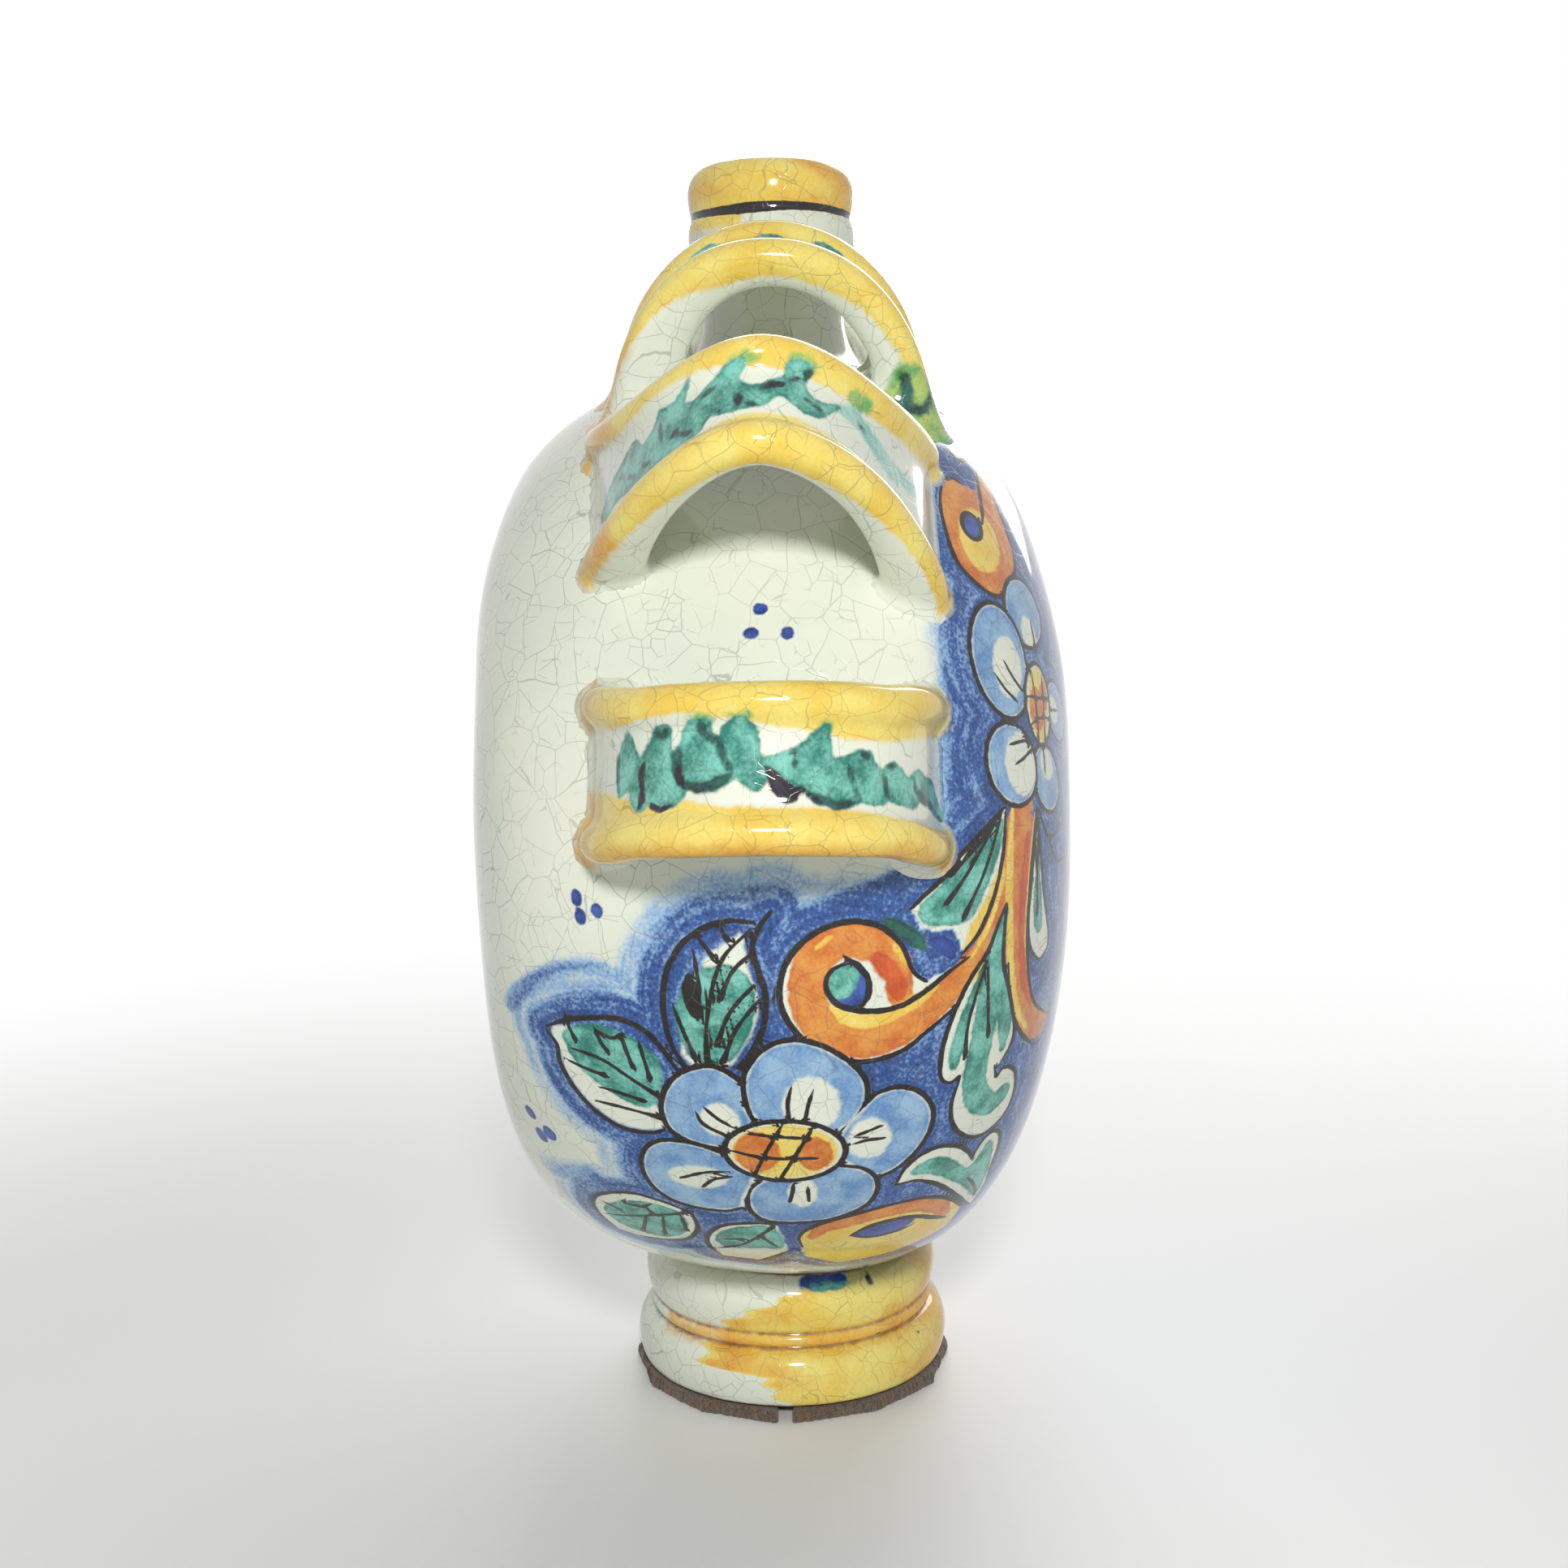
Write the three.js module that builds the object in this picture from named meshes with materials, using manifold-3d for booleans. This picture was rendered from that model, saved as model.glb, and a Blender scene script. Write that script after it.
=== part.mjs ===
// Pilgrim flask in tin-glazed earthenware: a flat round bottle that stands on its edge.
// Millimetres, +Z up. The painted front faces -Y, and the carrying loops stand out along +X and -X.
// The origin is the centre of the underside, on the table.
//
// The body is two moulded bowls joined rim to rim. A thrown neck, a thrown foot ring and six pulled
// loops are luted on with slip before the glaze, and two halves of felt are glued under the foot.

import * as THREE from 'three';
import { mergeVertices } from 'three/addons/utils/BufferGeometryUtils.js';
import Module from 'manifold-3d';

// Line of slip between two pieces that are luted together, or glue between foot and felt.
const SLIP_GAP = 0.3;

// Body: turned about Y. The rim power of a bowl sets how straight its rim runs towards the face,
// and the face power how flat the face is.
const BODY_RADIUS = 120.5;
const BODY_WALL = 6;
const FRONT_DEPTH = 73.2;
const FRONT_RIM_POWER = 2.5;
const FRONT_FACE_POWER = 2.85;
const BACK_DEPTH = 73.2;
const BACK_RIM_POWER = 1.65;
const BACK_FACE_POWER = 6.4;

// Felt under the foot: two halves with hand-cut straight edges.
const FELT_THICKNESS = 3;
const FELT_CORNER_RADIUS = 44;
const FELT_CUTS = 6;
const FELT_SPLIT = 3.2;
const FELT_SPLIT_OFFSET = 2;

// Foot ring: a broad lower bead, a thin fillet in the groove, and an upper bead under the body.
const FOOT_RIM_RADIUS = 40.5;
const FOOT_BORE_RADIUS = 28;
const FOOT_GROOVE_RADIUS = 37.5;
const LOWER_BEAD_RADIUS = 42.8;
const LOWER_BEAD_HEIGHT = 14.9;
const FILLET_RADIUS = 39.3;
const FILLET_HEIGHT = 3.6;
const UPPER_BEAD_RADIUS = 40.3;
const UPPER_BEAD_HEIGHT = 15.5;
const BODY_SEAT_DEPTH = 5;

// Neck: a column that spreads onto the shoulder, a neck bead, a narrow groove and the lip. The hole
// that is cut in the shoulder under it is a little wider than its bore.
const NECK_BORE_RADIUS = 12;
const SHOULDER_HOLE_RADIUS = 16;
const NECK_COLUMN_RADIUS = 18.5;
const NECK_COLUMN_HEIGHT = 24.8;
const NECK_SPREAD = 8.5;
const NECK_SPREAD_HEIGHT = 13;
const NECK_SPREAD_EDGE = 1.2;
const NECK_BEAD_RADIUS = 22;
const NECK_BEAD_HEIGHT = 11;
const NECK_GROOVE_RADIUS = 20.6;
const LIP_RADIUS = 21.7;
const LIP_HEIGHT = 13;
const MOUTH_ROUNDING = 4;

// Loops: a band between two rolled ridges, arched over the rim from the front bowl to the back bowl.
const RIDGE_RADIUS = 4.6;
const BAND_THICKNESS = 5.2;
const BAND_SET_BACK = 1.2;
// The ridges spread apart by the flare, from this share of the half span to the seat.
const LOOP_FLARE = 1.8;
const FLARE_START = 0.6;
// Under the arch a loop is thicker at its feet than at its crown, by this share of its inner half.
const LEG_THICKENING = 0.9;
// How far a loop's crown stands out from the rim, half the distance between its two seats, the
// distance of its middle behind the seam, the distance between its ridges, how far its foot on the
// back bowl is set up the rim from the crown, and how far its upper ridge fans up at the two feet.
const SIDE_RISE = 24.2;
const SIDE_HALF_SPAN = 34.5;
const SIDE_SET_BACK = 2.5;
const SIDE_RIDGE_SPACING = 25.4;
const SIDE_BACK_LEAN = 2.5;
const SHOULDER_RISE = 40;
const SHOULDER_HALF_SPAN = 35.5;
const SHOULDER_SET_BACK = 2.5;
const SHOULDER_RIDGE_SPACING = 23.5;
const SHOULDER_BACK_LEAN = 10;
const SHOULDER_BACK_FAN = 9;
const SHOULDER_FRONT_FAN = 11;
const NECK_LOOP_RISE = 30;
const NECK_LOOP_HALF_SPAN = 33.5;
const NECK_LOOP_RIDGE_SPACING = 20;
// The angle is in degrees above the horizontal. The powers set how square the crown and the legs are.
const LOOPS = [
  {
    name: 'side',
    angle: 12.3,
    rise: SIDE_RISE,
    halfSpan: SIDE_HALF_SPAN,
    setBack: SIDE_SET_BACK,
    ridgeSpacing: SIDE_RIDGE_SPACING,
    backLean: SIDE_BACK_LEAN,
    backFan: 0,
    frontFan: 0,
    crownPower: 2.6,
    legPower: 1.5,
  },
  {
    name: 'shoulder',
    angle: 39.6,
    rise: SHOULDER_RISE,
    halfSpan: SHOULDER_HALF_SPAN,
    setBack: SHOULDER_SET_BACK,
    ridgeSpacing: SHOULDER_RIDGE_SPACING,
    backLean: SHOULDER_BACK_LEAN,
    backFan: SHOULDER_BACK_FAN,
    frontFan: SHOULDER_FRONT_FAN,
    crownPower: 1.85,
    legPower: 1.25,
  },
  {
    name: 'neck',
    angle: 71,
    rise: NECK_LOOP_RISE,
    halfSpan: NECK_LOOP_HALF_SPAN,
    setBack: 0,
    ridgeSpacing: NECK_LOOP_RIDGE_SPACING,
    backLean: 0,
    backFan: 0,
    frontFan: 0,
    crownPower: 2.1,
    legPower: 1.8,
  },
];

// Facets.
const BODY_SEGMENTS = 48;
const BOWL_STEPS = 12;
const TURNED_SEGMENTS = 36;
const BEAD_STEPS = 6;
const ARCH_STEPS = 9;
const RIDGE_STEPS = 9;
const WELD_DISTANCE = 1e-4;

// Heights that follow from the sizes above.
const FOOT_BOTTOM = FELT_THICKNESS + SLIP_GAP;
const FILLET_BOTTOM = FOOT_BOTTOM + LOWER_BEAD_HEIGHT;
const UPPER_BEAD_BOTTOM = FILLET_BOTTOM + FILLET_HEIGHT;
const FOOT_TOP = UPPER_BEAD_BOTTOM + UPPER_BEAD_HEIGHT;
const BODY_BOTTOM = FOOT_TOP - BODY_SEAT_DEPTH;
const BODY_CENTRE = BODY_BOTTOM + BODY_RADIUS;
const BODY_TOP = BODY_CENTRE + BODY_RADIUS;
const NECK_BEAD_BOTTOM = BODY_TOP + NECK_COLUMN_HEIGHT;
const LIP_BOTTOM = NECK_BEAD_BOTTOM + NECK_BEAD_HEIGHT;
const LIP_TOP = LIP_BOTTOM + LIP_HEIGHT;

const FRONT_BOWL = {
  side: -1, depth: FRONT_DEPTH, rimPower: FRONT_RIM_POWER, facePower: FRONT_FACE_POWER,
};
const BACK_BOWL = {
  side: 1, depth: BACK_DEPTH, rimPower: BACK_RIM_POWER, facePower: BACK_FACE_POWER,
};

const wasm = await Module();
wasm.setup();

// Closed geometry to solid: vertices that share a place are merged, and the slivers at poles dropped.
function toSolid(geometry) {
  const bare = geometry.clone();
  bare.deleteAttribute('normal');
  bare.deleteAttribute('uv');
  const merged = mergeVertices(bare, WELD_DISTANCE);
  const index = merged.index.array;
  const triangles = [];
  for (let i = 0; i < index.length; i += 3) {
    const [a, b, c] = [index[i], index[i + 1], index[i + 2]];
    if (a !== b && b !== c && c !== a) {
      triangles.push(a, b, c);
    }
  }
  return new wasm.Manifold(new wasm.Mesh({
    numProp: 3,
    vertProperties: new Float32Array(merged.attributes.position.array),
    triVerts: new Uint32Array(triangles),
  }));
}

function toGeometry(solid) {
  const mesh = solid.getMesh();
  const geometry = new THREE.BufferGeometry();
  geometry.setAttribute('position', new THREE.BufferAttribute(mesh.vertProperties, 3));
  geometry.setIndex(new THREE.BufferAttribute(mesh.triVerts, 1));
  geometry.computeVertexNormals();
  return geometry;
}

// Points of a bowl's outline from the rim to the pole, set in by a wall or out by a gap.
function bowlOutline(bowl, inset) {
  const points = [];
  for (let i = 0; i <= BOWL_STEPS; i += 1) {
    const turn = (i / BOWL_STEPS) * (Math.PI / 2);
    const radius = (BODY_RADIUS - inset) * Math.cos(turn) ** (2 / bowl.facePower);
    const reach = (bowl.depth - inset) * Math.sin(turn) ** (2 / bowl.rimPower);
    points.push(new THREE.Vector2(i === BOWL_STEPS ? 0 : radius, bowl.side * reach));
  }
  return points;
}

// Radius of the body's outside at a distance y from the seam.
function bodyRadiusAt(y) {
  const bowl = y < 0 ? FRONT_BOWL : BACK_BOWL;
  const share = Math.min(1, Math.abs(y) / bowl.depth);
  return BODY_RADIUS * (1 - share ** bowl.rimPower) ** (1 / bowl.facePower);
}

// The body without its hollow, grown by the slip gap: what is luted on is cut by this.
function bodyBlank() {
  const front = bowlOutline(FRONT_BOWL, -SLIP_GAP).reverse();
  const back = bowlOutline(BACK_BOWL, -SLIP_GAP).slice(1);
  return toSolid(new THREE.LatheGeometry([...front, ...back], BODY_SEGMENTS));
}

// One bowl: outside and inside walls that meet in a flat rim, half a slip gap from the seam.
function bowlShell(bowl) {
  const outside = bowlOutline(bowl, 0);
  const inside = bowlOutline(bowl, BODY_WALL);
  const rim = (bowl.side * SLIP_GAP) / 2;
  outside[0].y = rim;
  inside[0].y = rim;
  const profile = bowl.side < 0
    ? [...outside.reverse(), ...inside]
    : [...inside.reverse(), ...outside];
  return toSolid(new THREE.LatheGeometry(profile, BODY_SEGMENTS));
}

// A turned bead from (rLow, zLow) over its crest to (rHigh, zHigh), as two quarter ellipses.
function bead(rLow, rCrest, rHigh, zLow, zHigh) {
  const points = [];
  const middle = (zLow + zHigh) / 2;
  for (let i = 0; i <= BEAD_STEPS; i += 1) {
    const turn = (i / BEAD_STEPS - 0.5) * Math.PI;
    const root = turn < 0 ? rLow : rHigh;
    const radius = root + (rCrest - root) * Math.cos(turn);
    points.push(new THREE.Vector2(radius, middle + (middle - zLow) * Math.sin(turn)));
  }
  return points;
}

// A ring turned about Z from a profile of radius and height, closed on itself.
function turned(profile) {
  const geometry = new THREE.LatheGeometry([...profile, profile[0]], TURNED_SEGMENTS);
  return toSolid(geometry.rotateX(Math.PI / 2));
}

// How far the body's rim falls away below its top, or rises above its bottom, at a radius about Z.
function drop(radius) {
  return BODY_RADIUS - Math.sqrt(BODY_RADIUS ** 2 - radius ** 2);
}

// Foot ring, open below, whose top is cut to the saddle of the body.
function footRing(blank) {
  const seat = BODY_BOTTOM + drop(UPPER_BEAD_RADIUS) + BODY_SEAT_DEPTH;
  const profile = [
    ...bead(FOOT_RIM_RADIUS, LOWER_BEAD_RADIUS, FOOT_GROOVE_RADIUS, FOOT_BOTTOM, FILLET_BOTTOM),
    ...bead(FOOT_GROOVE_RADIUS, FILLET_RADIUS, FOOT_GROOVE_RADIUS, FILLET_BOTTOM, UPPER_BEAD_BOTTOM).slice(1),
    ...bead(FOOT_GROOVE_RADIUS, UPPER_BEAD_RADIUS, FOOT_GROOVE_RADIUS, UPPER_BEAD_BOTTOM, FOOT_TOP).slice(1),
    new THREE.Vector2(FOOT_GROOVE_RADIUS, seat),
    new THREE.Vector2(FOOT_BORE_RADIUS, seat),
    new THREE.Vector2(FOOT_BORE_RADIUS, FOOT_BOTTOM),
  ];
  return turned(profile).subtract(blank);
}

// Neck with its bore, whose base spreads onto the shoulder and is cut to the body's saddle.
function neckTube(blank) {
  const spreadRadius = NECK_COLUMN_RADIUS + NECK_SPREAD;
  const spreadBottom = BODY_TOP - drop(spreadRadius) + SLIP_GAP + NECK_SPREAD_EDGE;
  const base = spreadBottom - BODY_WALL;
  const profile = [
    new THREE.Vector2(NECK_BORE_RADIUS, base),
    new THREE.Vector2(spreadRadius, base),
  ];
  for (let i = 0; i <= BEAD_STEPS; i += 1) {
    const turn = (1 - i / BEAD_STEPS) * (Math.PI / 2);
    profile.push(new THREE.Vector2(
      spreadRadius - NECK_SPREAD * Math.cos(turn),
      spreadBottom + NECK_SPREAD_HEIGHT * (1 - Math.sin(turn)),
    ));
  }
  const mouthRadius = NECK_BORE_RADIUS + MOUTH_ROUNDING;
  profile.push(
    ...bead(NECK_COLUMN_RADIUS, NECK_BEAD_RADIUS, NECK_GROOVE_RADIUS, NECK_BEAD_BOTTOM, LIP_BOTTOM),
    ...bead(NECK_GROOVE_RADIUS, LIP_RADIUS, mouthRadius, LIP_BOTTOM, LIP_TOP).slice(1),
    new THREE.Vector2(NECK_BORE_RADIUS, LIP_TOP - MOUTH_ROUNDING),
  );
  return turned(profile).subtract(blank);
}

// Outline of a loop's band across the rim (c) and out from it (n): two ridges joined by the band.
function loopSection(spacing) {
  const outer = Math.asin((BAND_THICKNESS / 2 - BAND_SET_BACK) / RIDGE_RADIUS);
  const inner = Math.asin(Math.min(1, (BAND_THICKNESS / 2 + BAND_SET_BACK) / RIDGE_RADIUS));
  const points = [];
  for (const side of [1, -1]) {
    for (let i = 0; i < RIDGE_STEPS; i += 1) {
      const share = side > 0 ? i / (RIDGE_STEPS - 1) : 1 - i / (RIDGE_STEPS - 1);
      const turn = inner - Math.PI + share * (2 * Math.PI - inner - outer);
      const c = side * (spacing / 2 + RIDGE_RADIUS * Math.cos(turn));
      points.push(new THREE.Vector2(c, RIDGE_RADIUS * Math.sin(turn)));
    }
  }
  return points;
}

// Point of a loop's arch in the plane of Y and the radius, from -90 degrees at the front bowl
// over the crown to 90 degrees at the back bowl.
function archPoint(loop, turn) {
  const reach = loop.halfSpan * Math.abs(Math.sin(turn)) ** (2 / loop.crownPower);
  const seat = bodyRadiusAt(loop.setBack + Math.sign(turn) * loop.halfSpan);
  const rise = BODY_RADIUS + loop.rise - seat;
  return new THREE.Vector2(
    loop.setBack + Math.sign(turn) * reach,
    seat + rise * Math.abs(Math.cos(turn)) ** (2 / loop.legPower),
  );
}

// Flare, lean, fan and inner thickness of a loop's section: they grow from the crown to the seat.
function sectionChange(loop, turn) {
  const fall = 1 - Math.abs(Math.cos(turn)) ** (2 / loop.legPower);
  return {
    flare: LOOP_FLARE * THREE.MathUtils.smoothstep(Math.abs(Math.sin(turn)), FLARE_START, 1),
    lean: turn < 0 ? 0 : loop.backLean * fall ** 2,
    fan: (turn < 0 ? loop.frontFan : loop.backFan) * fall ** 2,
    thickness: 1 + LEG_THICKENING * fall ** 3,
  };
}

// Stations along a loop, each with its outward direction and section. The legs run on into the body,
// deep enough for the whole section to be under its surface before they are cut.
function loopStations(loop) {
  const root = 3 * RIDGE_RADIUS + LOOP_FLARE;
  const quarter = Math.PI / 2;
  const step = quarter / ARCH_STEPS;
  const stations = [];
  for (let i = 1 - ARCH_STEPS; i < ARCH_STEPS; i += 1) {
    const turn = i * step;
    const along = archPoint(loop, turn + step).sub(archPoint(loop, turn - step)).normalize();
    const out = new THREE.Vector2(-along.y, along.x);
    stations.push({ point: archPoint(loop, turn), out, ...sectionChange(loop, turn) });
  }
  for (const side of [-1, 1]) {
    const point = archPoint(loop, side * quarter);
    point.y -= root;
    const end = { point, out: new THREE.Vector2(side, 0), ...sectionChange(loop, side * quarter) };
    if (side < 0) {
      stations.unshift(end);
    } else {
      stations.push(end);
    }
  }
  return stations;
}

// Closed geometry of a loop: its section set up at each station of the path, then turned to its angle.
// Up is 1 where the section's width then points up the rim, and -1 where it points down.
function loopGeometry(loop, turn, up) {
  const section = loopSection(loop.ridgeSpacing);
  const stations = loopStations(loop);
  const count = section.length;
  const bandEdge = loop.ridgeSpacing / 2 - RIDGE_RADIUS;
  const positions = [];
  for (const { point, out, flare, lean, fan, thickness } of stations) {
    for (const { x: c, y: n } of section) {
      const depth = n < 0 ? n * thickness : n;
      const upper = THREE.MathUtils.clamp((up * c) / bandEdge, 0, 1);
      const across = c + Math.sign(c) * flare + up * (lean + upper * fan);
      positions.push(point.y + depth * out.y, point.x + depth * out.x, across);
    }
  }
  const index = [];
  for (let s = 0; s < stations.length - 1; s += 1) {
    for (let j = 0; j < count; j += 1) {
      const a = s * count + j;
      const b = s * count + ((j + 1) % count);
      index.push(a, b, b + count, a, b + count, a + count);
    }
  }
  const last = (stations.length - 1) * count;
  for (const [a, b, c] of THREE.ShapeUtils.triangulateShape(section, [])) {
    index.push(c, b, a, last + a, last + b, last + c);
  }
  const geometry = new THREE.BufferGeometry();
  geometry.setAttribute('position', new THREE.Float32BufferAttribute(positions, 3));
  geometry.setIndex(index);
  return geometry.rotateY(turn);
}

// One half of the felt: a half disc with straight hand-cut edges.
function feltHalf(side) {
  const edge = FELT_SPLIT_OFFSET + (side * FELT_SPLIT) / 2;
  const start = Math.asin(edge / FELT_CORNER_RADIUS);
  const shape = new THREE.Shape();
  for (let i = 0; i <= FELT_CUTS; i += 1) {
    const turn = side > 0
      ? start + (i / FELT_CUTS) * (Math.PI - 2 * start)
      : start - (i / FELT_CUTS) * (Math.PI + 2 * start);
    const x = FELT_CORNER_RADIUS * Math.cos(turn);
    const y = FELT_CORNER_RADIUS * Math.sin(turn);
    if (i === 0) {
      shape.moveTo(x, y);
    } else {
      shape.lineTo(x, y);
    }
  }
  shape.closePath();
  return new THREE.ExtrudeGeometry(shape, { depth: FELT_THICKNESS, bevelEnabled: false });
}

const glaze = { roughness: 0.18, metalness: 0 };
const GLAZE_WHITE = { color: 0xe9ebdc, ...glaze };
const GLAZE_BLUE = { color: 0x9fb2d6, ...glaze };
const GLAZE_YELLOW = { color: 0xe6c455, ...glaze };
const FELT_BROWN = { color: 0x6b625b, roughness: 0.95, metalness: 0 };

function piece(name, geometry, look) {
  const mesh = new THREE.Mesh(geometry, new THREE.MeshStandardMaterial(look));
  mesh.name = name;
  return mesh;
}

const flask = new THREE.Group();
const bodyGroup = new THREE.Group();
bodyGroup.position.z = BODY_CENTRE;
flask.add(bodyGroup);

const blank = bodyBlank();
const blankInPlace = blank.translate([0, 0, BODY_CENTRE]);

// The hole in the shoulder, under the neck.
const holeDepth = 2 * BODY_WALL + 2 * drop(SHOULDER_HOLE_RADIUS);
const hole = new THREE.CylinderGeometry(
  SHOULDER_HOLE_RADIUS,
  SHOULDER_HOLE_RADIUS,
  holeDepth,
  TURNED_SEGMENTS,
);
const holeCut = toSolid(hole.rotateX(Math.PI / 2).translate(0, 0, BODY_RADIUS - BODY_WALL / 2));

bodyGroup.add(piece('front_bowl', toGeometry(bowlShell(FRONT_BOWL).subtract(holeCut)), GLAZE_BLUE));
bodyGroup.add(piece('back_bowl', toGeometry(bowlShell(BACK_BOWL).subtract(holeCut)), GLAZE_WHITE));
for (const loop of LOOPS) {
  const lift = THREE.MathUtils.degToRad(loop.angle);
  const right = toSolid(loopGeometry(loop, -lift, 1)).subtract(blank);
  const left = toSolid(loopGeometry(loop, lift - Math.PI, -1)).subtract(blank);
  bodyGroup.add(piece(`right_${loop.name}_loop`, toGeometry(right), GLAZE_YELLOW));
  bodyGroup.add(piece(`left_${loop.name}_loop`, toGeometry(left), GLAZE_YELLOW));
}

flask.add(piece('neck', toGeometry(neckTube(blankInPlace)), GLAZE_YELLOW));
flask.add(piece('foot_ring', toGeometry(footRing(blankInPlace)), GLAZE_YELLOW));
flask.add(piece('front_felt', feltHalf(-1), FELT_BROWN));
flask.add(piece('back_felt', feltHalf(1), FELT_BROWN));

export default flask;
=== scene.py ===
"""Looks of a pilgrim flask in painted tin-glazed earthenware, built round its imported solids.

Sizes are in millimetres, and turn to metres where a mesh is made. The painted front faces -Y, the
carrying loops stand out along +X and -X. Ornament on the rim is placed on a chart of the body: how far
a point lies across the rim from the seam, positive to the front, and how far up the rim from the
middle of the side. Both sides of the flask carry the same ornament.
"""
import math

import bpy
import numpy as np
from mathutils import Matrix, Vector


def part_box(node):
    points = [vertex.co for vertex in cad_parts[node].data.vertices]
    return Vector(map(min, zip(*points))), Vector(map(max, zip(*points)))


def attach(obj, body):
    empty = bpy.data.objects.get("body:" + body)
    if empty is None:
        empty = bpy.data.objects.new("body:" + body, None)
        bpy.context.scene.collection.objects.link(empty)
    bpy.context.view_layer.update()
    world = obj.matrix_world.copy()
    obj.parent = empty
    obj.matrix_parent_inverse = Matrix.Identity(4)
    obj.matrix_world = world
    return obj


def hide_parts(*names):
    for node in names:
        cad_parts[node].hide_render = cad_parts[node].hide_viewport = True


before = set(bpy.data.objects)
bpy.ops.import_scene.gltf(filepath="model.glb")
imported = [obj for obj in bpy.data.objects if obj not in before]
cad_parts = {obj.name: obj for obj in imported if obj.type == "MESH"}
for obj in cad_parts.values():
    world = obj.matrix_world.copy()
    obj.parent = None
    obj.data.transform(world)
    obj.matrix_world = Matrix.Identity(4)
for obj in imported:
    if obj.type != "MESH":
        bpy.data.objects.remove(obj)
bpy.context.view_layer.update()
bpy.ops.object.select_all(action="DESELECT")

MM = 0.001


def box_mm(node):
    low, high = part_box(node)
    return np.array(low) / MM, np.array(high) / MM


# Sizes that come from the frame.
front_low, front_high = box_mm("front_bowl")
_, back_high = box_mm("back_bowl")
foot_low, _ = box_mm("foot_ring")
_, neck_high = box_mm("neck")
BODY_RADIUS = (front_high[0] - front_low[0]) / 2
BODY_CENTRE = front_low[2] + BODY_RADIUS
BODY_TOP = BODY_CENTRE + BODY_RADIUS
FOOT_BOTTOM = foot_low[2]
LIP_TOP = neck_high[2]

# Bowls: depth, and the powers that set how straight the rim is and how flat the face is.
FRONT = {"side": -1, "depth": -front_low[1], "rim_power": 2.5, "face_power": 2.85}
BACK = {"side": 1, "depth": back_high[1], "rim_power": 1.65, "face_power": 6.4}
WALL = 6.0

# Foot ring, from the table up.
FOOT_RIM_RADIUS = 40.5
FOOT_BORE_RADIUS = 28.0
FOOT_GROOVE_RADIUS = 37.5
FOOT_COLUMN_RADIUS = 33.0
LOWER_BEAD_RADIUS = 42.8
FILLET_RADIUS = 39.3
UPPER_BEAD_RADIUS = 40.3
FILLET_BOTTOM = FOOT_BOTTOM + 14.9
UPPER_BEAD_BOTTOM = FILLET_BOTTOM + 3.6
FOOT_TOP = UPPER_BEAD_BOTTOM + 15.5
FOOT_END = FOOT_TOP + 9.0
FOOT_CHAMFER = 1.5
FOOT_FILLET = (1.0, 0.8)

# Neck, from the shoulder up.
NECK_BORE_RADIUS = 12.0
NECK_COLUMN_RADIUS = 18.5
NECK_BEAD_RADIUS = 22.0
NECK_GROOVE_RADIUS = 20.6
LIP_RADIUS = 21.7
MOUTH_ROUNDING = 4.0
LIP_BOTTOM = LIP_TOP - 13.0
NECK_BEAD_BOTTOM = LIP_BOTTOM - 11.0
NECK_END = BODY_TOP - 12.0
NECK_BORE_END = BODY_TOP - 9.0
NECK_FILLET = (13.0, 8.5)

# Loops: angle above the horizontal in degrees, rise of the crown over the rim, half the distance between
# the seats, distance of the middle behind the seam, distance between the ridges, how far the back foot is
# set up the rim, how far the upper ridge fans up at the back and front foot, how much thicker the inner
# half is at the crown and in the back and front leg, height and spread of the fillet at the feet, and the
# powers that set how square the crown and the legs are.
LOOPS = {
    "side": {
        "angle": 12.3, "rise": 24.2, "half_span": 34.5, "set_back": 2.5, "spacing": 25.4,
        "back_lean": 2.5, "back_fan": 0.0, "front_fan": 0.0, "inner_swell": 0.0, "leg_swell": (0.0, 0.0),
        "fillet": (4.0, 2.6), "crown_power": 2.6, "leg_power": 1.5,
    },
    "shoulder": {
        "angle": 39.6, "rise": 40.0, "half_span": 35.5, "set_back": 2.5, "spacing": 23.5,
        "back_lean": 10.0, "back_fan": 9.0, "front_fan": 11.0, "inner_swell": 0.0, "leg_swell": (0.6, 0.6),
        "fillet": (4.0, 2.6), "crown_power": 1.85, "leg_power": 1.25,
    },
    "neck": {
        "angle": 71.0, "rise": 30.0, "half_span": 33.5, "set_back": 0.0, "spacing": 20.0,
        "back_lean": 0.0, "back_fan": 0.0, "front_fan": 0.0, "inner_swell": 0.45, "leg_swell": (1.3, 0.0),
        "fillet": (11.0, 8.0), "crown_power": 2.1, "leg_power": 1.8,
    },
}
RIDGE_RADIUS = 4.6
BAND_THICKNESS = 5.2
BAND_SET_BACK = 1.2
LOOP_FLARE = 1.8
FLARE_START = 0.6
LEG_THICKENING = 0.9
LEG_SWELL_POWER = 0.7
LOOP_ROOT = 8.0

# Felt under the foot: two halves with straight hand-cut edges.
FELT_CORNER_RADIUS = 44.0
FELT_CUTS = 6
FELT_SPLIT = 3.2
FELT_SPLIT_OFFSET = 2.0
FELT_THICKNESS = 3.0
FELT_STATIONS = 420
FELT_SEED = 7
FELT_FRAY = 0.22
FELT_WAVE = 0.25
FELT_WAVE_TURN = 0.11
FELT_TRIM = 0.8

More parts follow.
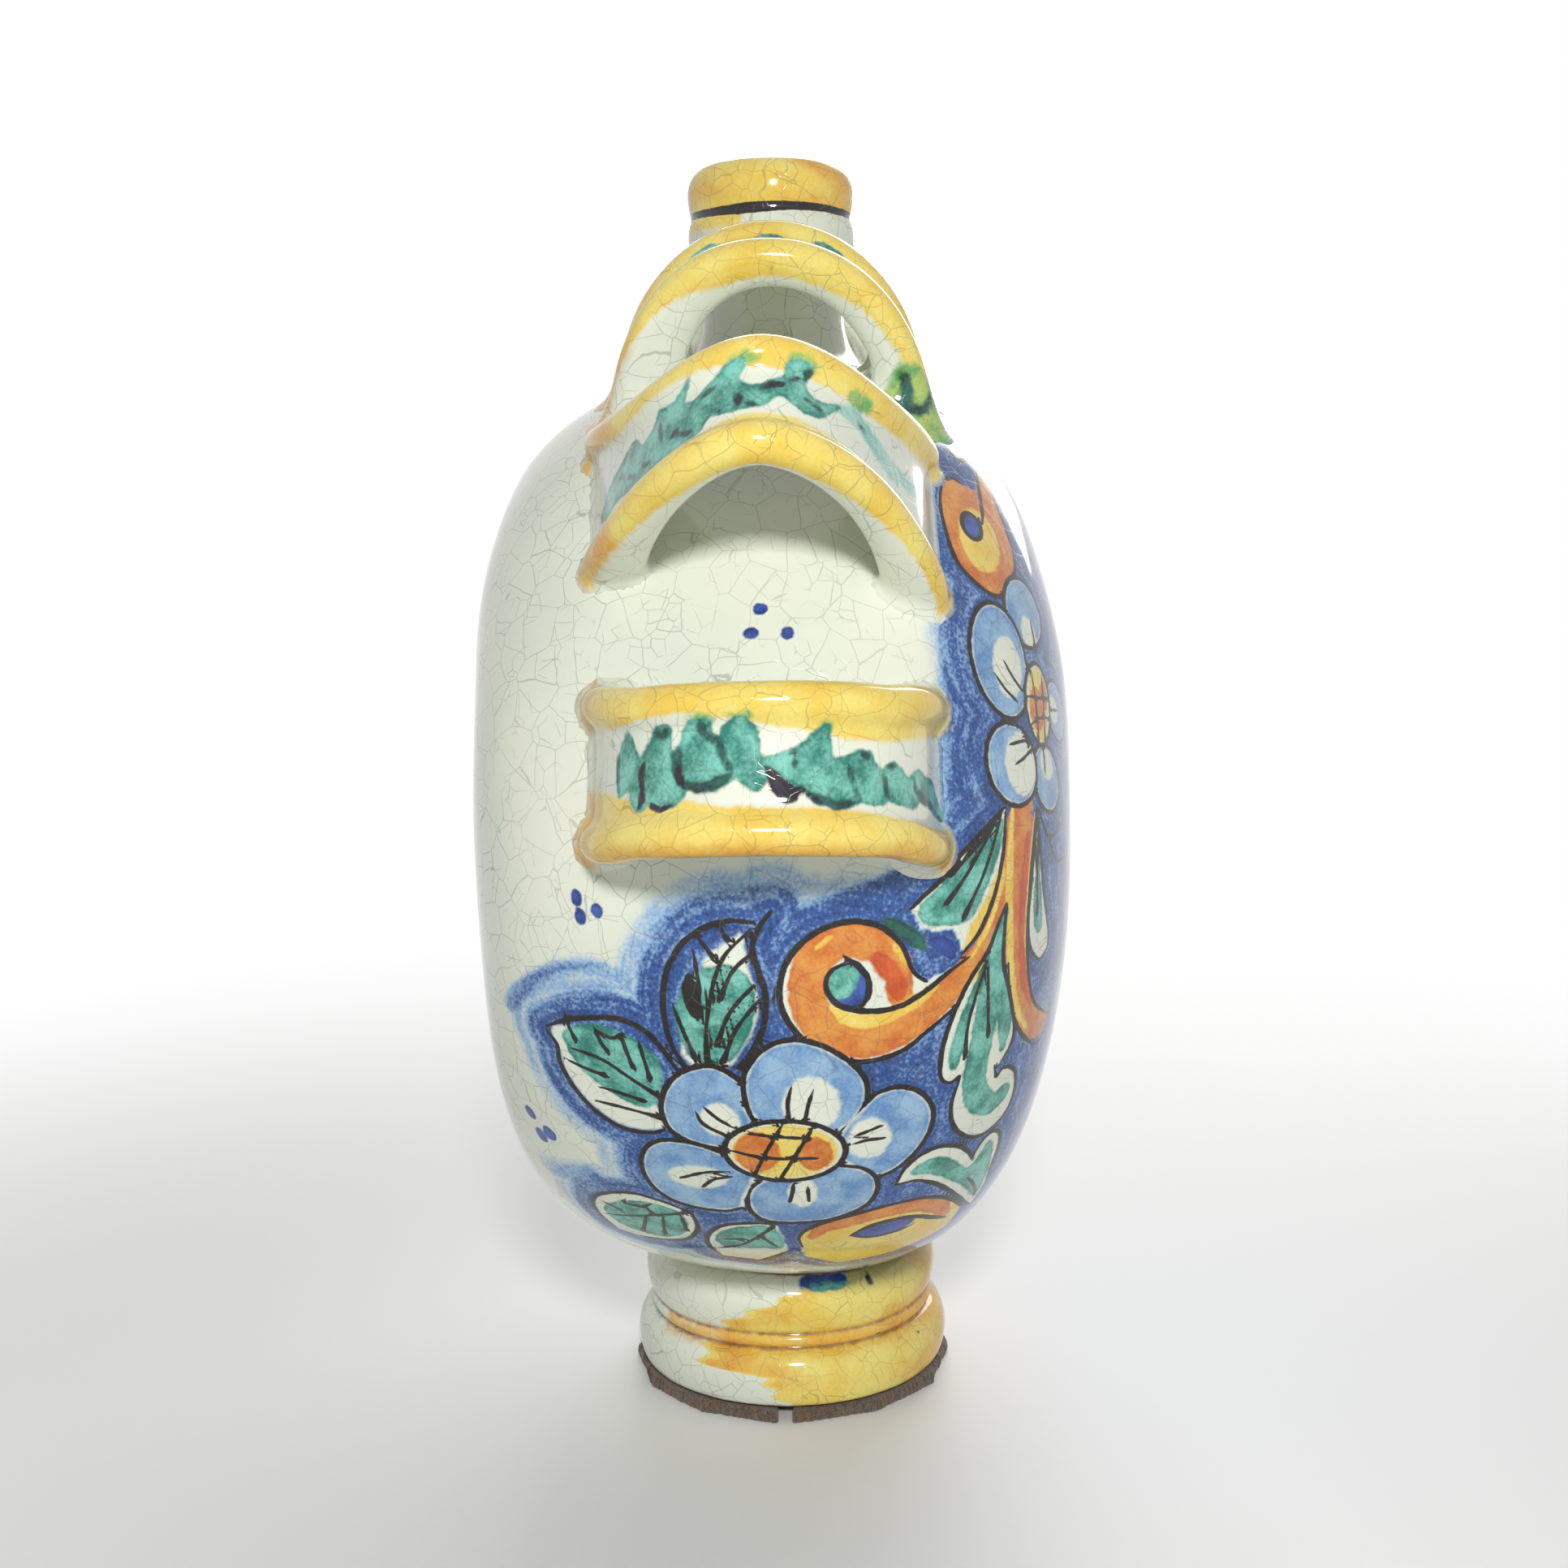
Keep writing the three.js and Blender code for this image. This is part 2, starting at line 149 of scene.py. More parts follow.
# Meshes: rows of a bowl as ends and spacings along its outline, steps round the axes, and passes that
# round a loop's section.
FRONT_ROWS = ((75, 0.9), (110, 1.4), (170, 1.8))
BACK_ROWS = ((70, 0.9), (80, 1.5), (170, 3.0))
RIM_STEPS = 800
FRONT_FACE_STEPS = 280
BACK_FACE_STEPS = 240
LINING_STEPS = 140
LINING_ROWS = 12
SECTION_PASSES = 5
NECK_STEPS = 180
FOOT_STEPS = 300
SAME_PLACE = 2e-6
SMOOTH_ANGLE = math.radians(50)

# Unevenness of hand work: direction, turn per millimetre along x, y and z, phase and reach of each wave,
# and the height where it has come in fully.
WOBBLE_WAVES = (
    ((1, 0, 0), (0.021, 0.034, 0.043), 0.4, 0.35),
    ((0, 1, 0), (0.045, 0.020, 0.031), 1.7, 0.45),
    ((0, 0, 1), (0.038, 0.051, 0.016), 2.9, 0.30),
    ((0, 1, 0), (0.088, 0.060, 0.093), 0.9, 0.16),
    ((0, 0, 1), (0.120, 0.095, 0.050), 4.1, 0.14),
)
WOBBLE_FULL = 30.0


# Body surface.
def bowl_outline(bowl, inset=0.0, count=2000):
    """Radius and y of a bowl's outline from the rim to the pole."""
    turn = np.linspace(0, math.pi / 2, count)
    radius = (BODY_RADIUS - inset) * np.cos(turn) ** (2 / bowl["face_power"])
    reach = (bowl["depth"] - inset) * np.sin(turn) ** (2 / bowl["rim_power"])
    radius[-1] = 0.0
    return np.column_stack([radius, bowl["side"] * reach])


def lengths_along(path):
    steps = np.hypot(*np.diff(path, axis=0).T)
    return np.concatenate([[0.0], np.cumsum(steps)])


def at_lengths(path, lengths):
    known = lengths_along(path)
    return np.column_stack([np.interp(lengths, known, column) for column in path.T])


def body_radius(y):
    """Radius of the body's outside at a distance y from the seam."""
    radius = np.zeros_like(y)
    for bowl in (FRONT, BACK):
        on_side = (y * bowl["side"] >= 0)
        share = np.clip(np.abs(y) / bowl["depth"], 0, 1)
        curve_radius = BODY_RADIUS * (1 - share ** bowl["rim_power"]) ** (1 / bowl["face_power"])
        radius = np.where(on_side, curve_radius, radius)
    return radius


def body_gap(points):
    """Height of points over the body's outside, and the body's outward direction there."""
    step = 0.05
    x, y, z = points.T
    z = z - BODY_CENTRE
    slope = (body_radius(y + step) - body_radius(y - step)) / (2 * step)
    distance = np.maximum(np.hypot(x, z), 1e-6)
    normal = np.column_stack([x / distance, -slope, z / distance])
    length = np.linalg.norm(normal, axis=1)
    return (distance - body_radius(y)) / length, normal / length[:, None]


def hand_wobble(points):
    """Small unevenness of hand work, the same for every piece so that joints stay shut."""
    standing = np.clip(points[:, 2] / WOBBLE_FULL, 0, 1)
    moved = points.copy()
    for direction, turns, phase, reach in WOBBLE_WAVES:
        wave = np.sin(points @ np.array(turns) + phase) * reach * standing
        moved += wave[:, None] * np.array(direction)
    return moved


def lute(points, outward, height, spread, sink=1.0):
    """Spreads the foot of a piece onto the body in a hollow fillet, and ends it just under the surface."""
    gap, normal = body_gap(points)
    share = np.clip(1 - gap / height, 0, 1)
    reach = spread * (1 - np.sqrt(1 - share ** 2))
    along = outward - (outward * normal).sum(1)[:, None] * normal
    moved = points + reach[:, None] * along
    gap, normal = body_gap(moved)
    return moved + np.maximum(-sink - gap, 0)[:, None] * normal


# Meshes.
def coordinates(piece):
    values = np.empty(len(piece.data.vertices) * 3, np.float32)
    piece.data.vertices.foreach_get("co", values)
    return values.reshape(-1, 3).astype(float) / MM


def set_coordinates(piece, points):
    piece.data.vertices.foreach_set("co", (points * MM).astype(np.float32).ravel())
    piece.data.update()


def set_values(piece, name, values):
    attribute = piece.data.attributes.new(name, "FLOAT", "POINT")
    attribute.data.foreach_set("value", np.asarray(values, np.float32))


def values_of(piece, name):
    values = np.empty(len(piece.data.vertices), np.float32)
    piece.data.attributes[name].data.foreach_get("value", values)
    return values.astype(float)


def clean_up():
    """Closes seams and poles of the active piece, and turns its faces outwards."""
    bpy.ops.object.mode_set(mode="EDIT")
    bpy.ops.mesh.select_all(action="SELECT")
    bpy.ops.mesh.remove_doubles(threshold=SAME_PLACE)
    bpy.ops.mesh.fill_holes(sides=0)
    bpy.ops.mesh.select_all(action="SELECT")
    bpy.ops.mesh.normals_make_consistent(inside=False)
    bpy.ops.object.mode_set(mode="OBJECT")


def turned(name, outline, axis, centre, steps):
    """Draws an outline by extruding a point, and spins it about an axis."""
    start, *rest = [Vector(point) * MM for point in outline]
    bpy.ops.mesh.primitive_plane_add(size=MM, location=start)
    piece = bpy.context.object
    piece.name = name
    bpy.ops.object.transform_apply(location=True, rotation=False, scale=False)
    bpy.ops.object.mode_set(mode="EDIT")
    bpy.ops.mesh.select_all(action="SELECT")
    bpy.ops.mesh.merge(type="CENTER")
    here = start
    for point in rest:
        bpy.ops.mesh.extrude_region_move(TRANSFORM_OT_translate={"value": point - here})
        here = point
    bpy.ops.mesh.select_all(action="SELECT")
    bpy.ops.mesh.spin(steps=steps, angle=2 * math.pi, center=Vector(centre) * MM, axis=axis)
    bpy.ops.mesh.select_all(action="SELECT")
    bpy.ops.mesh.remove_doubles(threshold=SAME_PLACE)
    bpy.ops.object.mode_set(mode="OBJECT")
    return piece


def rolled(name, along, around, shape, charts):
    """Bends a grid into a closed band. Shape gives each point from its shares along and around, and
    charts the values that the painting needs."""
    bpy.ops.mesh.primitive_grid_add(x_subdivisions=along, y_subdivisions=around, size=2)
    piece = bpy.context.object
    piece.name = name
    flat = coordinates(piece) * MM
    share = (flat[:, :2] + 1) / 2
    set_coordinates(piece, shape(share[:, 0], share[:, 1]))
    for chart, values in charts(share[:, 0], share[:, 1]).items():
        set_values(piece, chart, values)
    clean_up()
    return piece


# Shapes of the pieces.
def spin_about_seam(name, outline, steps):
    points = [(radius, y, BODY_CENTRE) for radius, y in outline]
    return turned(name, points, (0, 1, 0), (0, 0, BODY_CENTRE), steps)


def bridge_ends(piece, on_outside):
    """Joins the two open ends of a bowl's shells that lie on its outside, or the two on its lining."""
    mesh = piece.data
    bpy.ops.object.mode_set(mode="EDIT")
    bpy.ops.mesh.select_mode(type="EDGE")
    bpy.ops.mesh.select_all(action="DESELECT")
    bpy.ops.mesh.select_non_manifold(use_wire=False, use_multi_face=False, use_non_contiguous=False,
                                     use_verts=False)
    bpy.ops.object.mode_set(mode="OBJECT")
    chosen = np.zeros(len(mesh.edges), bool)
    mesh.edges.foreach_get("select", chosen)
    ends = np.zeros(2 * len(mesh.edges), np.int32)
    mesh.edges.foreach_get("vertices", ends)
    gap, _ = body_gap(coordinates(piece))
    chosen &= (gap[ends[::2]] > -WALL / 2) == on_outside
    corners = np.zeros(len(mesh.vertices), bool)
    corners[ends.reshape(-1, 2)[chosen]] = True
    mesh.vertices.foreach_set("select", corners)
    mesh.edges.foreach_set("select", chosen)
    bpy.ops.object.mode_set(mode="EDIT")
    bpy.ops.mesh.bridge_edge_loops(type="SINGLE")
    bpy.ops.mesh.select_mode(type="VERT")
    bpy.ops.object.mode_set(mode="OBJECT")


def bowl_piece(name, bowl, stretches, face_steps):
    """A bowl spun in three densities and bridged: fine at the painted rim, coarser on face and lining."""
    outside = bowl_outline(bowl)
    total = lengths_along(outside)[-1]
    rows = []
    start = 0.0
    for end, spacing in stretches:
        end = min(end, total)
        rows.append(np.linspace(start, end, round((end - start) / spacing), endpoint=False))
        start = end
    lining = bowl_outline(bowl, WALL, LINING_ROWS)
    rim = at_lengths(outside, np.concatenate(rows[:-1]))
    face = at_lengths(outside, np.append(rows[-1], total))
    shells = [
        spin_about_seam(name, np.vstack([rim[::-1], lining[:1]]), RIM_STEPS),
        spin_about_seam(name, face, face_steps),
        spin_about_seam(name, lining[1:], LINING_STEPS),
    ]
    bpy.ops.object.select_all(action="DESELECT")
    for shell in shells:
        shell.select_set(True)
    piece = shells[0]
    bpy.context.view_layer.objects.active = piece
    bpy.ops.object.join()
    bridge_ends(piece, on_outside=True)
    bridge_ends(piece, on_outside=False)
    clean_up()
    return piece


def bead(low_radius, crest_radius, high_radius, low, high, count=14):
    """A turned bead of two quarter ellipses, as radius and height."""
    turn = np.linspace(-math.pi / 2, math.pi / 2, count)
    root = np.where(turn < 0, low_radius, high_radius)
    radius = root + (crest_radius - root) * np.cos(turn)
    middle = (low + high) / 2
    return list(zip(radius, middle + (middle - low) * np.sin(turn)))


def straight(start, end, spacing):
    count = max(2, round(math.dist(start, end) / spacing) + 1)
    return [tuple(point) for point in np.linspace(start, end, count)]


def rounded(outline, spacing, passes):
    """Evens out an outline's points and rounds its corners as glaze does."""
    path = np.array(outline)
    total = lengths_along(path)[-1]
    path = at_lengths(path, np.linspace(0, total, round(total / spacing)))
    for _ in range(passes):
        path[1:-1] = 0.5 * path[1:-1] + 0.25 * (path[:-2] + path[2:])
    return path


def upright_piece(name, outline, spacing, passes, steps, fillet, luted):
    """A piece turned about the flask's axis. The part outside a radius and between two levels is luted onto
    the body with a fillet."""
    path = rounded(outline, spacing, passes)
    piece = turned(name, [(radius, 0.0, level) for radius, level in path], (0, 0, 1), (0, 0, 0), steps)
    clean_up()
    points = coordinates(piece)
    radius = np.hypot(points[:, 0], points[:, 1])
    outward = np.column_stack([points[:, 0] / radius, points[:, 1] / radius, 0 * radius])
    least, low, high = luted
    on_body = (radius > least) & (points[:, 2] > low) & (points[:, 2] < high)
    points = np.where(on_body[:, None], lute(points, outward, *fillet), points)
    set_values(piece, "turn", np.arctan2(points[:, 1], points[:, 0]))
    set_values(piece, "level", points[:, 2])
    set_coordinates(piece, hand_wobble(points))
    return piece


def neck_piece():
    mouth = NECK_BORE_RADIUS + MOUTH_ROUNDING
    outline = [
        *straight((NECK_COLUMN_RADIUS, NECK_END), (NECK_COLUMN_RADIUS, NECK_BEAD_BOTTOM), spacing=2.0),
        *bead(NECK_COLUMN_RADIUS, NECK_BEAD_RADIUS, NECK_GROOVE_RADIUS, NECK_BEAD_BOTTOM, LIP_BOTTOM)[1:],
        *bead(NECK_GROOVE_RADIUS, LIP_RADIUS, mouth, LIP_BOTTOM, LIP_TOP)[1:],
        (NECK_BORE_RADIUS, LIP_TOP - MOUTH_ROUNDING),
        (NECK_BORE_RADIUS, NECK_BORE_END),
        (NECK_COLUMN_RADIUS, NECK_END),
    ]
    luted = ((NECK_BORE_RADIUS + NECK_COLUMN_RADIUS) / 2, -math.inf, NECK_BEAD_BOTTOM)
    return upright_piece("neck_looks", outline, spacing=0.8, passes=4, steps=NECK_STEPS,
                         fillet=NECK_FILLET, luted=luted)


def foot_piece():
    groove, column = FOOT_GROOVE_RADIUS, FOOT_COLUMN_RADIUS
    outline = [
        (FOOT_BORE_RADIUS, FOOT_TOP),
        (FOOT_BORE_RADIUS, FOOT_BOTTOM),
        (FOOT_RIM_RADIUS - FOOT_CHAMFER, FOOT_BOTTOM),
        *bead(FOOT_RIM_RADIUS, LOWER_BEAD_RADIUS, groove, FOOT_BOTTOM, FILLET_BOTTOM),
        *bead(groove, FILLET_RADIUS, groove, FILLET_BOTTOM, UPPER_BEAD_BOTTOM)[1:],
        *bead(groove, UPPER_BEAD_RADIUS, column, UPPER_BEAD_BOTTOM, FOOT_TOP)[1:],
        (column, FOOT_END),
        (FOOT_BORE_RADIUS, FOOT_TOP),
    ]
    luted = (FOOT_BORE_RADIUS + 2, UPPER_BEAD_BOTTOM, math.inf)
    return upright_piece("foot_ring_looks", outline, spacing=0.7, passes=2, steps=FOOT_STEPS,
                         fillet=FOOT_FILLET, luted=luted)


def loop_section(spacing, count):
    """Closed outline of a loop's band from the middle of its inside round both ridges."""
    outer = math.asin((BAND_THICKNESS / 2 - BAND_SET_BACK) / RIDGE_RADIUS)
    inner = math.asin((BAND_THICKNESS / 2 + BAND_SET_BACK) / RIDGE_RADIUS)
    turn = np.linspace(inner - math.pi, math.pi - outer, 40)
    ridge = np.column_stack([spacing / 2 + RIDGE_RADIUS * np.cos(turn), RIDGE_RADIUS * np.sin(turn)])
    mirrored = ridge[::-1] * (-1, 1)
    inside = np.array([[0.0, ridge[0, 1]]])
    path = np.vstack([inside, ridge, mirrored, inside])
    total = lengths_along(path)[-1]
    lengths = np.linspace(0, total, count + 1)
    path = at_lengths(path, lengths)[:-1]
    for _ in range(SECTION_PASSES):
        path = 0.5 * path + 0.25 * (np.roll(path, 1, 0) + np.roll(path, -1, 0))
    return np.vstack([path, path[:1]]), total / 2 - lengths


def seat_radius(loop, side):
    return body_radius(loop["set_back"] + side * loop["half_span"])


def loop_path(loop):
    """Points of a loop's middle line as y and radius, front to back. The legs run on into the body."""
    turn = np.linspace(-math.pi / 2, math.pi / 2, 1201)
    side = np.sign(turn)
    reach = loop["half_span"] * np.abs(np.sin(turn)) ** (2 / loop["crown_power"])
    seat = seat_radius(loop, side)
    height = BODY_RADIUS + loop["rise"] - seat
    path = np.column_stack([
        loop["set_back"] + side * reach,
        seat + height * np.abs(np.cos(turn)) ** (2 / loop["leg_power"]),
    ])
    return np.vstack([path[0] - (0, LOOP_ROOT), path, path[-1] - (0, LOOP_ROOT)])


def smoothstep(values, low, high):
    share = np.clip((values - low) / (high - low), 0, 1)
    return share ** 2 * (3 - 2 * share)


def loop_piece(name, loop, side, stations=150, around=96):
    path = loop_path(loop)
    total = lengths_along(path)[-1]
    lengths = np.linspace(0, total, stations + 1)
    middle = at_lengths(path, lengths)
    step = 1.5
    ahead = at_lengths(path, np.minimum(lengths + step, total))
    along = ahead - at_lengths(path, np.maximum(lengths - step, 0))
    along /= np.linalg.norm(along, axis=1)[:, None]
    section, across = loop_section(loop["spacing"], around)
    tangent = np.roll(section[:-1], -1, 0) - np.roll(section[:-1], 1, 0)
    facing = np.column_stack([tangent[:, 1], -tangent[:, 0]])
    facing /= np.linalg.norm(facing, axis=1)[:, None]
    facing = np.vstack([facing, facing[:1]])

    # How the section changes from the crown to the feet.
    offset = middle[:, 0] - loop["set_back"]
    crown = BODY_RADIUS + loop["rise"]
    fall = np.clip((crown - middle[:, 1]) / (crown - seat_radius(loop, np.sign(offset))), 0, 1)
    share = (np.abs(offset) / loop["half_span"]) ** (loop["crown_power"] / 2)
    flare = LOOP_FLARE * smoothstep(share, FLARE_START, 1)
    lean = np.where(offset < 0, 0, loop["back_lean"]) * fall ** 2
    fan = np.where(offset < 0, loop["front_fan"], loop["back_fan"]) * fall ** 2
    thickness = 1 + loop["inner_swell"] * (1 - fall ** 3) + LEG_THICKENING * fall ** 3
    back_swell, front_swell = loop["leg_swell"]
    thickness += np.where(offset < 0, front_swell, back_swell) * fall ** LEG_SWELL_POWER
    band_edge = loop["spacing"] / 2 - RIDGE_RADIUS

    lift = math.radians(loop["angle"])
    radial = np.array([side * math.cos(lift), 0, math.sin(lift)])
    cross = np.array([-side * math.sin(lift), 0, math.cos(lift)])
    backward = np.array([0.0, 1.0, 0.0])

    def indices(share_along, share_around):
        return np.rint(share_along * stations).astype(int), np.rint(share_around * around).astype(int)

    def shape(share_along, share_around):
        i, j = indices(share_along, share_around)
        c, n = section[j].T
        spread = np.sign(c) * np.minimum(np.abs(c) / band_edge, 1) * flare[i]
        c = c + spread + lean[i] + np.clip(c / band_edge, 0, 1) * fan[i]
        n = np.where(n < 0, n * thickness[i], n)
        out_y, out_r = -along[i, 1], along[i, 0]
        y = middle[i, 0] + n * out_y
        r = middle[i, 1] + n * out_r
        points = r[:, None] * radial + y[:, None] * backward + c[:, None] * cross
        points[:, 2] += BODY_CENTRE
        outward = (facing[j, 0][:, None] * cross
                   + facing[j, 1][:, None] * (out_r[:, None] * radial + out_y[:, None] * backward))
        return hand_wobble(lute(points, outward, *loop["fillet"]))

    def charts(share_along, share_around):
        i, j = indices(share_along, share_around)
        return {"along": total / 2 - lengths[i], "around": across[j]}

    return rolled(name, stations, around, shape, charts)


def felt_piece(name, side):
    """Half a felt pad: straight hand-cut edges with a ragged, slightly rounded side."""
    edge = FELT_SPLIT_OFFSET + side * FELT_SPLIT / 2
    start = math.asin(edge / FELT_CORNER_RADIUS)
    turns = np.linspace(start, side * math.pi - start, FELT_CUTS + 1)
    corners = FELT_CORNER_RADIUS * np.column_stack([np.cos(turns), np.sin(turns)])
    path = np.vstack([corners, corners[:1]])
    total = lengths_along(path)[-1]
    outline = at_lengths(path, np.linspace(0, total, FELT_STATIONS + 1))
    middle = corners.mean(0)
    out = outline - middle
    out /= np.linalg.norm(out, axis=1)[:, None]
    ragged = np.random.default_rng(FELT_SEED + side).normal(0, FELT_FRAY, FELT_STATIONS)
    ragged += FELT_WAVE * np.sin(np.arange(FELT_STATIONS) * FELT_WAVE_TURN) - FELT_TRIM
    ragged = np.append(ragged, ragged[0])
    # Section from the middle of the underside over the edge to the middle of the top: reach and height.
    section = np.array([(0, 0), (0.5, 0), (0.9, 0), (0.985, 0.0), (1, 0.2), (1.004, 0.45), (1, 0.75),
                        (0.985, 1.0), (0.9, 1.0), (0.5, 1.0), (0, 1.0)])

    def shape(share_along, share_around):
        i = np.rint(share_along * FELT_STATIONS).astype(int)
        reach, height = section[np.rint(share_around * (len(section) - 1)).astype(int)].T
        fray = np.where(reach > 0.95, ragged[i] * (0.7 + 0.6 * height), 0)
        flat = middle + reach[:, None] * (outline[i] - middle) + fray[:, None] * out[i]
        return np.column_stack([flat, height * FELT_THICKNESS])

    return rolled(name, FELT_STATIONS, len(section) - 1, shape, lambda *shares: {})


# Painting. A canvas keeps, for each colour, how far every vertex lies outside the nearest painted
# edge, in millimetres and negative inside, so that the shader can draw edges finer than the mesh.
# Each colour, in the order of painting: thin and thick brushwork, and in millimetres the softness of its
# edge, the raggedness of its edge and the size of its brush marks.
PAINTS = {
    "light_blue": ("#9DC0DC", "#6492C6", 1.3, 0.5, 8.0),
    "bare": ("#E9EDDC", "#DFE6D6", 1.2, 0.8, 12.0),
    "yellow": ("#F2E17C", "#EDC84F", 1.6, 0.9, 13.0),
    "ochre": ("#EFC352", "#E3A43A", 5.0, 2.0, 13.0),
    "orange": ("#E49A45", "#D06C27", 0.9, 0.8, 5.5),
    "rust": ("#DB682B", "#C44B1B", 1.2, 1.0, 5.5),
    "gold": ("#F4DF79", "#ECC54D", 0.7, 0.6, 8.0),
    "lime": ("#B9CC6E", "#68AC62", 2.0, 1.4, 5.5),
    "blue": ("#3F62B4", "#1F3880", 0.5, 0.4, 5.5),
    "pale_green": ("#B7DCD0", "#7CC0B1", 1.6, 1.0, 5.5),
    "green": ("#80CCBB", "#257E6E", 0.8, 0.7, 5.5),
    "deep": ("#2C6F63", "#113B36", 1.1, 0.8, 5.5),
    "dark": ("#3A3142", "#17131C", 0.7, 0.6, 5.5),
    "ink": ("#2A2224", "#17130F", 0.26, 0.25, 5.5),
    "clay": ("#B4866A", "#8A5C41", 0.7, 0.3, 5.5),
}
COLOURS = tuple(PAINTS)
FAR = 50.0
OUTLINE = 1.4
VEIN = 1.0
BLOT_REACH = 4.0
MOTIF_REACH = 14.0
PALE_RIM = 0.9
SHADE_LAP = 1.5
# Blue round the motifs: outer edge, fade and strength of the near and the far halo, and of the ground.
HALOS = ((8.0, 3.0, 0.92), (13.0, 3.5, 0.36))
GROUND_FADE = 5.0
GROUND_STRENGTH = 0.95
WASH_FULL = 1.35
WASH_DRYING = 0.35


def curve(points, closed=False, steps=7):
    """A smooth path through a few points."""
    knots = np.array(points, float)
    if closed:
        knots = np.vstack([knots[-1], knots, knots[:2]])
    else:
        knots = np.vstack([2 * knots[0] - knots[1], knots, 2 * knots[-1] - knots[-2]])
    t = np.linspace(0, 1, steps, endpoint=False)[:, None]
    parts = []
    for a, b, c, d in zip(knots, knots[1:], knots[2:], knots[3:]):
        parts.append(b + 0.5 * t * (c - a + t * (2 * a - 5 * b + 4 * c - d + t * (3 * (b - c) + d - a))))
    return np.vstack([*parts, knots[-2:-1]])


def oval(centre, size, tilt=0.0, count=36):
    turn = np.linspace(0, 2 * math.pi, count + 1)
    x, y = size[0] * np.cos(turn), size[1] * np.sin(turn)
    lean = math.radians(tilt)
    return np.column_stack([
        centre[0] + x * math.cos(lean) - y * math.sin(lean),
        centre[1] + x * math.sin(lean) + y * math.cos(lean),
    ])


def nearest(points, path):
    """Distance of each point to a path, the same signed by its side of the path, and the share of the
    path's length where it is nearest."""
    best = np.full(len(points), np.inf)
    signed = np.zeros(len(points))
    share = np.zeros(len(points))
    lengths = lengths_along(path)
    for start, end, length in zip(path, path[1:], lengths):
        step = end - start
        square = max(step @ step, 1e-12)
        t = np.clip((points - start) @ step / square, 0, 1)
        offset = points - start - t[:, None] * step
        distance = np.hypot(*offset.T)
        on_left = step[0] * offset[:, 1] > step[1] * offset[:, 0]
        closer = distance < best
        best[closer] = distance[closer]
        signed[closer] = np.where(on_left, distance, -distance)[closer]
        share[closer] = (length + t[closer] * math.sqrt(square)) / lengths[-1]
    return best, signed, share


def inside(points, path):
    x, y = points.T
    odd = np.zeros(len(points), bool)
    for (x0, y0), (x1, y1) in zip(path, np.roll(path, -1, 0)):
        crosses = (y0 > y) != (y1 > y)
        if crosses.any():
            odd ^= crosses & (x < (x1 - x0) * (y - y0) / (y1 - y0 + 1e-12) + x0)
    return odd


class Canvas:
    def __init__(self, chart):
        self.chart = chart
        self.layers = {colour: np.full(len(chart), FAR) for colour in COLOURS}
        self.motif = np.full(len(chart), MOTIF_REACH)
        self.wash = np.zeros(len(chart))
        # Ink lines are finer than the mesh: the side of the nearest line's middle, and half its width.
        self.ink_side = np.full(len(chart), FAR)
        self.ink_half = np.zeros(len(chart))
        # Where the blue ground runs on into a motif.
        self.shaded = np.zeros(len(chart), bool)

    def near(self, path, margin):
        low, high = path.min(0) - margin, path.max(0) + margin
        return np.flatnonzero(((self.chart > low) & (self.chart < high)).all(1))

    def outside_of(self, path, margin):
        """Vertices near a closed path, and their distances outside its edge."""
        where = self.near(path, margin)
        distance, _, _ = nearest(self.chart[where], np.vstack([path, path[:1]]))
        distance[inside(self.chart[where], path)] *= -1
        return where, distance

    def blot(self, colour, path, inset=0.0):
        """Fills a closed path up to an inset from its edge."""
        where, distance = self.outside_of(path, BLOT_REACH)
        layer = self.layers[colour]
        layer[where] = np.minimum(layer[where], distance + inset)

    def reserve(self, path):
        """Keeps a motif's place free of what was painted before, and of the blue ground."""
        where, distance = self.outside_of(path, MOTIF_REACH)
        self.motif[where] = np.minimum(self.motif[where], distance)
        self.shaded[where[distance < 0]] = False
        for layer in self.layers.values():
            layer[where] = np.maximum(layer[where], -distance)

    def shade(self, path, light):
        """Lets the blue ground run on into a motif, up to its light part and a little under it."""
        where, distance = self.outside_of(path, BLOT_REACH)
        self.shaded[where[distance < 0]] = True
        where, distance = self.outside_of(light, BLOT_REACH)
        self.shaded[where[distance < -SHADE_LAP]] = False

    def stroke(self, colour, path, width, start=0.45, end=0.45):
        """A brush stroke along a path, narrower or wider at its start and end by these shares."""
        where = self.near(path, width + 3.0)
        distance, signed, share = nearest(self.chart[where], path)
        half = width / 2 * np.interp(share, (0, 0.2, 0.8, 1), (start, 1, 1, end))
        layer = self.layers[colour]
        if colour == "ink":
            closer = distance - half < layer[where]
            self.ink_side[where[closer]] = signed[closer]
            self.ink_half[where[closer]] = half[closer]
        layer[where] = np.minimum(layer[where], distance - half)

    def brush_wash(self, path, width, strength):
        """A broad watery stroke of blue with soft edges."""
        where = self.near(path, width)
        distance, _, share = nearest(self.chart[where], path)
        dense = strength * np.clip(WASH_FULL * (1 - distance / (width / 2)), 0, 1)
        self.wash[where] = np.maximum(self.wash[where], dense * (1 - WASH_DRYING * share))

    def halo(self):
        """Blue brushed round the motifs: full beside them, thin further out."""
        for edge, fade, strength in HALOS:
            self.wash = np.maximum(self.wash, strength * np.clip((edge - self.motif) / fade, 0, 1))

    def save(self, piece):
        for colour in COLOURS:
            set_values(piece, colour, self.layers[colour])
        for name in ("wash", "motif", "ink_side", "ink_half"):
            set_values(piece, name, getattr(self, name))


